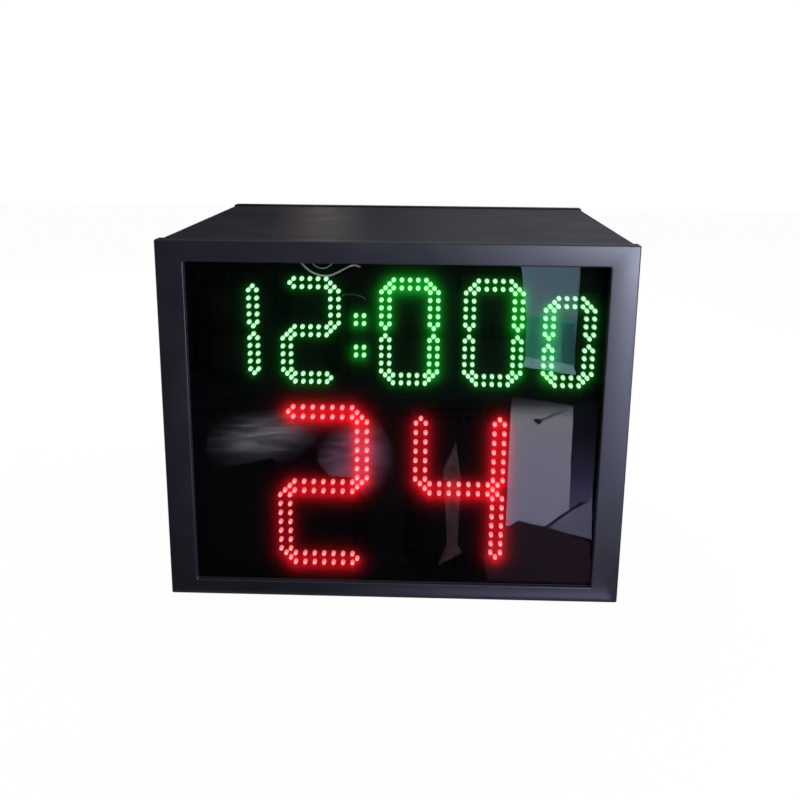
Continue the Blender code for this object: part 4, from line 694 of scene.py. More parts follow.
@dataclass
class Cabinet:
    """The sheet-steel cabinet: front frame, wrapped shell, floor tray and rear frame.

    Attributes:
        sheet: Thickness of the frames' steel.
        shell_sheet: Thickness of the shell's steel.
        fold: Outer radius of the folds.
        corner: Radius of the frames' welded corners.
        window_corner: Radius of the window's corners.
        panel_lap: How far the window's edge laps over the panel.
        lap: How far each frame laps over the shell.
        window_return: Depth of the window's folded edge.
        fold_steps: Straight pieces round a fold.
        screw: Radius and height of a lap screw's head.
        screw_heights: Heights of the lap screws, as shares of the frame's.
    """

    sheet: float = 1.5 * MM
    shell_sheet: float = 1.2 * MM
    fold: float = 2.0 * MM
    corner: float = 2.0 * MM
    window_corner: float = 3.0 * MM
    panel_lap: float = 6.0 * MM
    lap: float = 22.0 * MM
    window_return: float = 6.0 * MM
    fold_steps: int = 6
    screw: Point = (3.2 * MM, 1.4 * MM)
    screw_heights: tuple[float, ...] = (0.15, 0.5, 0.85)

    def build(self) -> None:
        """Builds and dresses the cabinet's pieces."""
        self.build_front_frame()
        self.build_shell()
        dress_node("base_tray", POWDER_COAT)
        eased_copy("rear_frame", POWDER_COAT, 0.5 * MM)
        self.build_lap_screws()

    def bend(self, rect: Rect, face: float, inwards: int) -> list[tuple[Rect, float]]:
        """Gives the sections round a fold between a frame's face and its edge.

        Args:
            rect: Where the edge stands.
            face: Depth of the frame's face.
            inwards: 1 where the face lies inside the edge, -1 where it lies outside.

        Returns:
            The rectangle and depth of each section, from the edge to the face.
        """
        sections = []
        for step in range(self.fold_steps + 1):
            angle = math.pi / 2 * step / self.fold_steps
            moved = inwards * self.fold * (1 - math.cos(angle))
            sections.append((rect.inset(moved), face + self.fold * (1 - math.sin(angle))))
        return sections

    def build_front_frame(self) -> None:
        """Builds the folded frame round the window."""
        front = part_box("front_frame")[0].y
        back, end, face = (front + depth for depth in (self.lap, self.window_return, self.sheet))
        outer = Rect.of("front_frame")
        inner = outer.inset(self.sheet)
        border = Rect.of("front_panel").inset(self.panel_lap)
        behind = border.inset(-self.sheet)
        loops = [outer.loop(self.corner, back)]
        loops += [rect.loop(self.corner, y) for rect, y in self.bend(outer, front, 1)]
        loops += [rect.loop(self.window_corner, y) for rect, y in reversed(self.bend(border, front, -1))]
        loops.append(border.loop(self.window_corner, end))
        loops += [behind.loop(self.window_corner + self.sheet, y) for y in (end, face)]
        loops += [inner.loop(self.corner, y) for y in (face, back)]
        stand_in("front_frame", "folded", skin(loops, closed=True), [RUBBED_COAT], 50.0)

    def build_lap_screws(self) -> None:
        """Puts screws through the sides of both frames' laps."""
        low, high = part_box("front_frame")
        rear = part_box("rear_frame")[1].y
        spots = [
            ((x, y, low.z + share * (high.z - low.z)), (side, 0.0, 0.0))
            for side, x in ((-1.0, low.x), (1.0, high.x))
            for y in (low.y + self.lap / 2, rear - self.lap / 2)
            for share in self.screw_heights
        ]
        make_screws("lap_screws", spots, self.screw, BLACKENED_STEEL)

    def build_shell(self) -> None:
        """Builds the wrapped top and sides with rounded folds."""
        low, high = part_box("outer_shell")
        outer, inner = [], []
        for side, x in ((-1, high.x), (1, low.x)):
            for step in range(self.fold_steps + 1)[::-side]:
                angle = math.pi / 2 * step / self.fold_steps
                for outline, radius in ((outer, self.fold), (inner, self.fold - self.shell_sheet)):
                    u = x + side * (self.fold - radius * math.cos(angle))
                    outline.append((u, high.z - self.fold + radius * math.sin(angle)))
        outline = [(high.x, low.z), *outer, (low.x, low.z)]
        outline += [(low.x + self.shell_sheet, low.z), *reversed(inner), (high.x - self.shell_sheet, low.z)]
        shape = skin([[(x, y, z) for x, z in outline] for y in (low.y, high.y)])
        stand_in("outer_shell", "folded", shape, [POWDER_COAT], 40.0)


@dataclass(frozen=True)
class Glow:
    """The glow painted on the panel round one lamp.

    Attributes:
        place: The lamp's x and z.
        colour: Its linear colour, times its strength.
        reach: Distance at which it has faded to 37%.
    """

    place: Point
    colour: Colour
    reach: float


@dataclass
class Window:
    """The smoked panel in the front frame, its seal and the strips that clamp it.

    Attributes:
        glows: The glow painted on the panel round the lamps.
        cell: Size of the panel's faces, fine enough for the glow.
        farthest: Distance from a lamp at which its glow ends.
        veil: Strength of the faint wide painted glow round the lamps.
        veil_reach: Distance at which the veil has faded to 37%.
    """

    glows: Sequence[Glow]
    cell: float = 3.2 * MM
    farthest: float = 46.0 * MM
    veil: float = 0.0028
    veil_reach: float = 15.0 * MM

    def build(self) -> None:
        """Builds the panel and dresses what holds it."""
        self.build_panel()
        dress_node("panel_seal", RUBBER)
        for side in ("top", "bottom", "left", "right"):
            eased_copy(f"panel_clamp_{side}", ZINC, 0.3 * MM)

    def build_panel(self) -> None:
        """Builds the panel with a fine grid of faces in front, which carries the painted glow."""
        low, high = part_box("front_panel")
        columns = round((high.x - low.x) / self.cell)
        rows = round((high.z - low.z) / self.cell)
        shape = bmesh.new()
        layer = shape.verts.layers.float_color.new("glow")
        grid = []
        for row in range(rows + 1):
            z = low.z + (high.z - low.z) * row / rows
            line = [low.x + (high.x - low.x) * column / columns for column in range(columns + 1)]
            grid.append([shape.verts.new((x, low.y, z)) for x in line])
        for under, over in zip(grid, grid[1:]):
            for column in range(columns):
                shape.faces.new((under[column], under[column + 1], over[column + 1], over[column]))
        rim = grid[0] + [line[-1] for line in grid[1:]]
        rim += grid[-1][-2::-1] + [line[0] for line in grid[-2:0:-1]]
        behind = [shape.verts.new((vertex.co.x, high.y, vertex.co.z)) for vertex in rim]
        for index, vertex in enumerate(behind):
            vertex[layer] = (0.0, 0.0, 0.0, 1.0)
            after = (index + 1) % len(rim)
            shape.faces.new((rim[index], vertex, behind[after], rim[after]))
        shape.faces.new(behind)
        lamps = KDTree(len(self.glows))
        for index, glow in enumerate(self.glows):
            lamps.insert((glow.place[0], low.y, glow.place[1]), index)
        lamps.balance()
        for line in grid:
            for vertex in line:
                vertex[layer] = self.painted_glow_at(lamps, vertex.co)
        stand_in("front_panel", "sheet", shape, [SMOKED_ACRYLIC])

    def painted_glow_at(self, lamps: KDTree, place: Vector) -> Colour:
        """Adds up the painted glow at one point of the panel.

        Args:
            lamps: The lamps' places, in the order of the glows.
            place: The point.

        Returns:
            The linear colour of the light there.
        """
        total = Vector((0.0, 0.0, 0.0))
        for _, index, distance in lamps.find_range(place, self.farthest):
            glow = self.glows[index]
            near = math.exp(-distance / glow.reach)
            far = self.veil * math.exp(-distance / self.veil_reach) / math.sqrt(max(glow.colour[:3]))
            total += Vector(glow.colour[:3]) * (near + far)
        return (total.x, total.y, total.z, 1.0)


class Figure(Enum):
    """Figures of the display, each with the segments that it lights."""

    ZERO = "abcdef"
    ONE = "bc"
    TWO = "abdeg"
    FOUR = "bcfg"


@dataclass(frozen=True)
class LampKind:
    """A kind of lamp, and how it shows when it is lit.

    Attributes:
        pitch: Distance from lamp to lamp.
        board: Finish of its board.
        lit: Finishes of a lit dome and body, and of those that get too much current.
        glow: The sRGB colour of the glow painted on the panel round it.
        spread: Strength of that glow.
        fade: Distance over which it fades, in pitches.
        widening: Power of the current by which that distance grows.
    """

    pitch: float
    board: Finish
    lit: tuple[Finish, ...]
    glow: str
    spread: float
    fade: float
    widening: float


GREEN_LIT = (GREEN_TIP, GREEN_BODY, STRONG_TIP, STRONG_BODY)
RED_LIT = (RED_TIP, RED_BODY, RED_TIP, RED_BODY)
GREEN_LAMP = LampKind(10.16 * MM, GREEN_LAMP_BOARD, GREEN_LIT, "24ff40", 0.09, 0.25, 0.3)
RED_LAMP = LampKind(12.7 * MM, RED_LAMP_BOARD, RED_LIT, "ff1826", 0.95, 0.345, 0.0)


@dataclass
class LampBoard:
    """A seven-segment board of round lamps.

    Attributes:
        node: The CAD node that it stands for.
        figure: The figure that it shows.
        count: Lamps along each row of a segment.
        kind: Its kind of lamp.
        drive: Segments whose lamps get more or less current than the rest, each with its share, which also
            sets their painted glow.
        margin: From the outer lamps to the board's edge.
        thickness: Thickness of the board.
        radius: Radius of a lamp.
        flange_radius: Radius of the flange at its foot.
        flange: Height of the flange.
        height: Height of a lamp.
        dome: Height of its dome.
        dome_steps: Faces from the dome's edge to its summit.
        sides: Flats round a lamp.
        overdriven: Share of current from which a lamp looks overdriven.
        brightening: Power of the current by which its painted glow grows stronger.
    """

    node: str
    figure: Figure
    count: int
    kind: LampKind
    drive: dict[str, float] = field(default_factory=dict)
    margin: float = 7.0 * MM
    thickness: float = 1.6 * MM
    radius: float = 2.5 * MM
    flange_radius: float = 2.9 * MM
    flange: float = 1.0 * MM
    height: float = 8.6 * MM
    dome: float = 2.4 * MM
    dome_steps: int = 4
    sides: int = 14
    overdriven: float = 2.0
    brightening: float = 0.7

    def segments(self) -> dict[str, list[Point]]:
        """Gives the places of each segment's lamps, in pitches from the first lamp of a level row."""
        count = self.count

        def level(v: float) -> list[Point]:
            """Gives two level rows with a lamp at each pointed end."""
            rows = [(float(u), v + row) for row in (0, 1) for u in range(count)]
            return rows + [(-0.5, v + 0.5), (count - 0.5, v + 0.5)]

        def upright(u: float, v: float) -> list[Point]:
            """Gives two upright columns with a lamp at each pointed end."""
            columns = [(u + column, v + step) for column in (0, 1) for step in range(count)]
            return columns + [(u + 0.5, v - 0.5), (u + 0.5, v + count - 0.5)]

        left, right, lower, upper = -1.5, count - 0.5, 1.5, count + 2.5
        return {
            "a": level(2.0 * count + 2),
            "b": upright(right, upper),
            "c": upright(right, lower),
            "d": level(0.0),
            "e": upright(left, lower),
            "f": upright(left, upper),
            "g": level(count + 1.0),
        }

    def lamp_profile(self) -> list[Point]:
        """Gives a lamp's profile: distance in front of the board, and radius."""
        shoulder = self.height - self.dome
        profile = [(0.0, self.flange_radius), (self.flange, self.flange_radius)]
        profile += [(self.flange, self.radius), (shoulder, self.radius)]
        for step in range(1, self.dome_steps + 1):
            angle = math.pi / 2 * step / self.dome_steps
            profile.append((shoulder + self.dome * math.sin(angle), self.radius * math.cos(angle)))
        return profile

    def lamps(self, spots: Sequence[Spot], front: float) -> Shape:
        """Makes the lamps at some places.

        Args:
            spots: Each lamp's x and z, with its share of current.
            front: Depth of the board's front face.

        Returns:
            One shape with all the lamps: the domes have an even material number, and the bodies the next.
        """
        shape = bmesh.new()
        profile = self.lamp_profile()
        dome_from = len(profile) - self.dome_steps - 1
        for (x, z), share in spots:
            number = 2 if share >= self.overdriven else 0
            rows = []
            for away, radius in profile[:-1]:
                ring = circle(radius, front - away, self.sides)
                rows.append([shape.verts.new((x + u, y, z + v)) for u, y, v in ring])
            summit = shape.verts.new((x, front - self.height, z))
            for level, (near, far) in enumerate(zip(rows, rows[1:])):
                for side in range(self.sides):
                    after = (side + 1) % self.sides
                    face = shape.faces.new((near[side], near[after], far[after], far[side]))
                    face.material_index = number if level >= dome_from else number + 1
            for side in range(self.sides):
                after = (side + 1) % self.sides
                shape.faces.new((rows[-1][side], rows[-1][after], summit)).material_index = number
        return shape

    def spots(self, lit: bool) -> list[Spot]:
        """Gives the places of the lit lamps, or of the dark ones, each with its share of current."""
        rect = Rect.of(self.node).inset(self.margin)
        pitch = self.kind.pitch
        return [
            ((rect.left + (u + 1.5) * pitch, rect.bottom + v * pitch), self.drive.get(segment, 1.0))
            for segment, lamps in self.segments().items()
            if (segment in self.figure.value) == lit
            for u, v in lamps
        ]

    def glows(self) -> list[Glow]:
        """Gives the glow painted on the panel round the lit lamps: more current, wider and stronger."""
        tone = Vector(linear(self.kind.glow)) * self.kind.spread
        reach = self.kind.fade * self.kind.pitch
        return [
            Glow(place, tuple(tone * share**self.brightening), reach * share**self.kind.widening)
            for place, share in self.spots(True)
        ]

    def build(self) -> None:
        """Builds the board and its lamps in place of the CAD node."""
        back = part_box(self.node)[1].y
        front = back - self.thickness
        rect = Rect.of(self.node)
        shape = block((rect.left, front, rect.bottom), (rect.right, back, rect.top))
        board = make_piece(f"{self.node}_board", shape, [self.kind.board], Body.CABINET)
        ease(board, 0.2 * MM)
        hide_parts(self.node)
        for state, finishes in (("lit", self.kind.lit), ("dark", [DARK_LENS] * 4)):
            spots = self.spots(state == "lit")
            if spots:
                lamps = self.lamps(spots, front)
                make_piece(f"{self.node}_lamps_{state}", lamps, finishes, Body.CABINET, 50.0)


@dataclass
class ColonBoard(LampBoard):
    """The board with the colon's two squares of four lamps, all lit.

    Attributes:
        rows: Heights of its lamps above the lower margin, in pitches.
    """

    rows: tuple[float, ...] = (3.5, 4.5, 7.5, 8.5)

    def spots(self, lit: bool) -> list[Spot]:
        """Gives the places of the colon's lamps, of which none is dark."""
        rect = Rect.of(self.node).inset(self.margin)
        heights = [rect.bottom + row * self.kind.pitch for row in self.rows]
        places = [(x, z) for x in (rect.left, rect.right) for z in heights]
        return [(place, self.drive["all"]) for place in places] if lit else []


@dataclass
class Display:
    """The green game clock over the red shot clock, on their ribbed plate.

    Attributes:
        boards: The boards, the clock's from left to right and then the shot clock's.
        wires: Each wire behind the window, with its finish and radius.
    """

    boards: tuple[LampBoard, ...] = (
        LampBoard("clock_digit_minutes_tens", Figure.ONE, 5, GREEN_LAMP),
        LampBoard("clock_digit_minutes_units", Figure.TWO, 5, GREEN_LAMP),
        ColonBoard("clock_colon", Figure.ZERO, 0, GREEN_LAMP, dict(all=3.2)),
        LampBoard("clock_digit_seconds_tens", Figure.ZERO, 5, GREEN_LAMP, dict(a=5.0, b=3.6, c=3.2, f=3.6)),
        LampBoard("clock_digit_seconds_units", Figure.ZERO, 5, GREEN_LAMP, dict(a=1.6, b=4.2, c=2.0, f=1.4)),
        LampBoard("clock_digit_tenths", Figure.ZERO, 4, GREEN_LAMP, dict(a=1.5, e=3.4, f=4.6)),
        LampBoard("shot_digit_tens", Figure.TWO, 7, RED_LAMP, dict(b=0.9, g=0.65, d=0.42, e=0.17)),
        LampBoard("shot_digit_units", Figure.FOUR, 7, RED_LAMP, dict(b=0.8, g=0.62, c=0.52, f=0.37)),
    )
    wires: tuple[tuple[str, Finish, float], ...] = (
        ("window_wire_loop", WHITE_PVC, 1.1 * MM),
        ("window_wire_thin", WHITE_PVC, 0.6 * MM),
        ("colon_lead", SHEEN_PAINTED_PVC, 0.8 * MM),
    )

    def glows(self) -> list[Glow]:
        """Gives the glow painted on the panel round every lit lamp."""
        return [glow for board in self.boards for glow in board.glows()]

    def build(self) -> None:
        """Builds every board of lamps and dresses the plate and its wires."""
        for board in self.boards:
            board.build()
        dress_node("display_plate", FLAT_BLACK)
        for wire in self.wires:
            rounded_wire(*wire)


@dataclass
class CamLock:
    """A quarter-turn cam lock on the door: flanged housing, plug with its keyway, nut and cam.

    Attributes:
        where: Which of the two it is.
        flange: Thickness of the flange.
        barrel_radius: Radius of the barrel.
        plug_radius: Radius of the plug.
        key_width: Width of the keyway.
        key_height: Height of the keyway.
        key_depth: Depth of the keyway.
        key_corner: Radius of the keyway's corners.
        edge: Width of the eased edges.
    """

    where: str
    flange: float = 2.5 * MM
    barrel_radius: float = 8.0 * MM
    plug_radius: float = 4.9 * MM
    key_width: float = 1.6 * MM
    key_height: float = 6.2 * MM
    key_depth: float = 3.0 * MM
    key_corner: float = 0.3 * MM
    edge: float = 0.4 * MM

    def build(self) -> None:
        """Builds the lock's pieces."""
        self.build_housing()
        self.build_plug()
        for part in ("nut", "cam"):
            eased_copy(f"lock_{self.where}_{part}", ZINC, self.edge)

    def build_housing(self) -> None:
        """Builds the flange and barrel in one."""
        node = f"lock_{self.where}_housing"
        low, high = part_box(node)
        middle = (low + high) / 2
        radius = (high.x - low.x) / 2
        bore = self.plug_radius + CLEARANCE
        root = high.y - self.flange
        profile = (
            (high.y - self.edge, bore),
            (high.y, bore + self.edge),
            (high.y, 0.84 * radius),
            (high.y - self.edge, 0.92 * radius),
            (high.y - 2.5 * self.edge, 0.98 * radius),
            (root + self.edge, radius),
            (root, radius),
            (root, self.barrel_radius),
            (low.y, self.barrel_radius),
            (low.y, bore),
        )
        shape = stood(turned(profile, bored=True), (middle.x, 0.0, middle.z))
        stand_in(node, "turned", shape, [CHROME], 50.0)

    def build_plug(self) -> None:
        """Builds the plug with its keyway."""
        node = f"lock_{self.where}_plug"
        low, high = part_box(node)
        middle = (low + high) / 2
        keyway = Rect(-self.key_width / 2, self.key_width / 2, -self.key_height / 2, self.key_height / 2)
        radius = self.plug_radius
        steps = SIDES // 4 - 1
        loops = [circle(radius, low.y), circle(radius, high.y - self.edge)]
        loops.append(circle(radius - self.edge, high.y))
        loops += [keyway.loop(self.key_corner, y, steps) for y in (high.y, high.y - self.key_depth)]
        stand_in(node, "turned", stood(skin(loops), (middle.x, 0.0, middle.z)), [CHROME], 50.0)


@dataclass
class Hinge:
    """A butt hinge of two leaves on one pin, each leaf held by two screws.

    Attributes:
        where: Which of the two it is.
        width: From the pin to a leaf's outer edge.
        sheet: Thickness of the leaves.
        radius: Radius of the knuckles.
        bore: Radius of their bore.
        root: Where a leaf meets its knuckle, from the pin.
        stand_back: Where a leaf ends beside the other leaf's knuckle.
        corner: Radius of the outer corners.
        screw: Radius and height of a screw's head.
        screw_out: From the pin to a screw, as a share of the width.
        screw_up: From the middle to a screw, as a share of half the height.
        pin_play: Play of the pin in its bore.
        pin_head: Radius of the pin's head.
    """

    where: str
    width: float = 22.0 * MM
    sheet: float = 1.5 * MM
    radius: float = 3.5 * MM
    bore: float = 2.05 * MM
    root: float = 1.0 * MM
    stand_back: float = 3.6 * MM
    corner: float = 3.0 * MM
    screw: Point = (3.1 * MM, 0.9 * MM)
    screw_out: float = 0.62
    screw_up: float = 0.6
    pin_play: float = 0.4 * MM
    pin_head: float = 3.0 * MM

    def build(self) -> None:
        """Builds both leaves and the pin."""
        low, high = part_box(f"hinge_{self.where}_frame_leaf")
        half = (high.z - low.z) / 2
        third = half / 3
        gap = CLEARANCE / 2
        self.build_leaf("frame_leaf", 1, [(-half, -third - gap), (third + gap, half)], half)
        self.build_leaf("door_leaf", -1, [(-third + gap, third - gap)], half)
        self.build_pin()

    def axis(self) -> Vector:
        """Gives the pin's middle."""
        low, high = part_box(f"hinge_{self.where}_frame_leaf")
        pin_low, pin_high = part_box(f"hinge_{self.where}_pin")
        return Vector(((pin_low.x + pin_high.x) / 2, (pin_low.y + pin_high.y) / 2, (low.z + high.z) / 2))

    def outline(self, knuckles: Sequence[Point], half: float, hand: int) -> list[Point]:
        """Draws a leaf in x and z.

        Args:
            knuckles: Lowest and highest point of each of its knuckles.
            half: Half of the leaf's height.
            hand: 1 for a leaf to the right of the pin, -1 to the left.

        Returns:
            The outline round the pin's middle.
        """
        points = []
        for quarter, z in ((3, -half + self.corner), (0, half - self.corner)):
            for step in range(5):
                angle = math.pi / 2 * (quarter + step / 4)
                x = self.width - self.corner + self.corner * math.cos(angle)
                points.append((x, z + self.corner * math.sin(angle)))
        edges = [half, *(z for low, high in reversed(knuckles) for z in (high, low)), -half]
        for index, (high, low) in enumerate(zip(edges, edges[1:])):
            if high - low > WELD:
                x = self.root if index % 2 else self.stand_back
                points += [(x, high), (x, low)]
        return [(hand * x, z) for x, z in points]

    def build_leaf(self, name: str, hand: int, knuckles: Sequence[Point], half: float) -> None:
        """Builds a leaf with its knuckles and screws.

        Args:
            name: The leaf's part of the node's name.
            hand: 1 for a leaf to the right of the pin, -1 to the left.
            knuckles: Lowest and highest point of each of its knuckles.
            half: Half of the leaf's height.
        """
        axis = self.axis()
        back = axis.y - self.radius
        face = back + self.sheet
        outline = self.outline(knuckles, half, hand)
        parts = [skin([[(axis.x + x, y, axis.z + z) for x, z in outline] for y in (back, face)])]
        for low, high in knuckles:
            profile = ((low, self.bore), (low, self.radius), (high, self.radius), (high, self.bore))
            parts.append(stood(turned(profile, 32, bored=True), axis, UP))
        for z in (-self.screw_up * half, self.screw_up * half):
            place = (axis.x + hand * self.screw_out * self.width, face, axis.z + z)
            parts.append(stood(pan_head(*self.screw), place))
        stand_in(f"hinge_{self.where}_{name}", "rolled", merged(parts), [ZINC])

    def build_pin(self) -> None:
        """Builds the pin with its domed head."""
        node = f"hinge_{self.where}_pin"
        low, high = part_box(node)
        radius = self.bore - self.pin_play
        head = self.pin_head
        profile = (
            (low.z, 0.7 * radius),
            (low.z + 0.3 * MM, radius),
            (high.z - 1.5 * MM, radius),
            (high.z - 1.5 * MM, head),
            (high.z - 0.8 * MM, head),
            (high.z - 0.2 * MM, 0.8 * head),
            (high.z, 0.45 * head),
        )
        axis = self.axis()
        stand_in(node, "turned", stood(turned(profile, 32), (axis.x, axis.y, 0.0), UP), [ZINC])


@dataclass
class Door:
    """The louvred rear door with its seal, stiffeners, hinges and locks."""

    def build(self) -> None:
        """Builds the door's pieces."""
        eased_copy("rear_door", POWDER_COAT, 0.4 * MM)
        for side in ("left", "right"):
            eased_copy(f"door_stiffener_{side}", POWDER_COAT, 0.3 * MM)
        dress_node("door_seal", RUBBER)
        for where in ("lower", "upper"):
            Hinge(where).build()
            CamLock(where).build()


@dataclass
class Connectors:
    """The row under the door: mains inlet, power switch and control socket.

    Attributes:
        pin_places: The inlet's pins, right of and above its middle.
        pin_half: Half the width and height of a pin.
        inlet_floor: From the inlet's rear tabs to the floor of its well.
        screw_apart: From the inlet's middle to a flange screw.
        screw: Radius and height of such a screw's head.
        mark: Half the height of the switch's marks, and their outer radius.
        mark_hole: Inner radius of the round mark.
        mark_bar: Half the width of the upright mark.
        mark_rise: Thickness of the ink, drawn thick enough to show.
        socket_radius: Radius of the control socket's shell.
        socket_wall: Thickness of that shell.
        socket_well: Depth of its well.
        socket_flange: Thickness of the flange behind the wall.
        socket_edge: Width of its eased edges.
        wall: Thickness of the wall that it stands in.
        contacts: Number of its contacts.
        contact_circle: Radius of the circle that they stand on.
        contact: Profile of a contact, above the well's floor.
    """

    pin_places: tuple[Point, ...] = ((-7.0 * MM, -3.5 * MM), (7.0 * MM, -3.5 * MM), (0.0, 3.5 * MM))
    pin_half: Point = (1.1 * MM, 2.1 * MM)
    inlet_floor: float = 6.2 * MM
    screw_apart: float = 20.0 * MM
    screw: Point = (2.6 * MM, 1.2 * MM)
    mark: float = 1.8 * MM
    mark_hole: float = 1.2 * MM
    mark_bar: float = 0.3 * MM
    mark_rise: float = 0.1 * MM
    socket_radius: float = 8.0 * MM
    socket_wall: float = 1.4 * MM
    socket_well: float = 9.5 * MM
    socket_flange: float = 2.0 * MM
    socket_edge: float = 0.3 * MM
    wall: float = 1.8 * MM
    contacts: int = 5
    contact_circle: float = 4.2 * MM
    contact: tuple[Point, ...] = ((0.0, 0.7 * MM), (6.6 * MM, 0.7 * MM), (7.0 * MM, 0.35 * MM))

    def build(self) -> None:
        """Builds the three fittings."""
        self.build_inlet()
        self.build_switch()
        self.build_socket()

    def build_inlet(self) -> None:
        """Builds the inlet with bright pins and its two flange screws."""
        low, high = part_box("mains_inlet")
        middle = (low + high) / 2

        def number(face: Vector) -> int:
            """Gives 1 for a face of a pin."""
            half_width, half_height = self.pin_half
            for u, v in self.pin_places:
                near = abs(face.x - middle.x - u) < half_width and abs(face.z - middle.z - v) < half_height
                if near and face.y > low.y + self.inlet_floor:
                    return 1
            return 0

        eased_copy("mains_inlet", [BLACK_NYLON, ZINC], 0.3 * MM, number)
        spots = [((middle.x + side * self.screw_apart, high.y, middle.z), BACK) for side in (-1, 1)]
        make_screws("mains_inlet_screws", spots, self.screw, BLACKENED_STEEL)

    def build_switch(self) -> None:
        """Builds the switch, with the marks for on and off on its rocker."""
        eased_copy("power_switch_housing", BLACK_NYLON, 0.25 * MM)
        rocker = frame["nodes"]["power_switch_rocker"]
        low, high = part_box("power_switch_rocker")
        middle = (low + high) / 2
        hole, mark, rise = self.mark_hole, self.mark, self.mark_rise
        ring = turned(((0.0, hole), (0.0, mark), (rise, mark), (rise, hole)), bored=True)
        bar = block((-self.mark_bar, 0.0, -mark), (self.mark_bar, rise, mark))
        marks = []
        for side, ink in ((-1, ring), (1, bar)):
            faces = [face for face in rocker.data.polygons if face.normal.y > 0.7]
            faces = [face for face in faces if side * (face.center.z - middle.z) > 0]
            area = sum(face.area for face in faces)
            centre = sum((face.center * face.area for face in faces), Vector()) / area
            normal = sum((face.normal * face.area for face in faces), Vector()).normalized()
            marks.append(stood(ink, centre, normal))
        eased_copy("power_switch_rocker", RED_POLYCARBONATE, 0.25 * MM)
        make_piece("power_switch_marks", merged(marks), [WHITE_INK], Body.ROCKER)

    def build_socket(self) -> None:
        """Builds the round control socket with its contacts."""
        low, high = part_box("control_socket")
        middle = (low + high) / 2
        radius = self.socket_radius
        well = radius - self.socket_wall
        edge = self.socket_edge
        flange_radius = (high.x - low.x) / 2
        floor = high.y - self.socket_well
        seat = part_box("control_socket_nut")[0].y - self.wall - CLEARANCE
        profile = (
            (floor, well),
            (high.y - edge, well),
            (high.y, well + edge),
            (high.y, radius - edge),
            (high.y - edge, radius),
            (seat, radius),
            (seat, flange_radius),
            (seat - self.socket_flange, flange_radius),
            (seat - self.socket_flange, radius),
            (low.y, radius),
        )
        pins = [
            stood(turned([(floor + rise, wide) for rise, wide in self.contact], 12), place)
            for place in circle(self.contact_circle, 0.0, self.contacts)
        ]
        shape = stood(merged([turned(profile)], pins), (middle.x, 0.0, middle.z))
        stand_in("control_socket", "turned", shape, [CHROME, GOLD_FLASH], 50.0)
        eased_copy("control_socket_nut", ZINC, 0.4 * MM)


def layer_of(under: float, over: float, axis: int) -> Callable[[Vector], int]:
    """Gives the numbers of the faces of a circuit board with parts on one side and posts on the other.

    Args:
        under: Where the board's post side lies.
        over: Where its part side lies.
        axis: Number of the axis that runs through the board: 1 for Y, 2 for Z.

    Returns:
        A function that gives 1 for the middle of a part's face, 2 for a post's and 0 for the board's.
    """
    slack = 0.2 * MM

    def number(face: Vector) -> int:
        """Gives the number of one face."""
        if face[axis] > over + slack:
            return 1
        return 2 if face[axis] < under - slack else 0

    return number


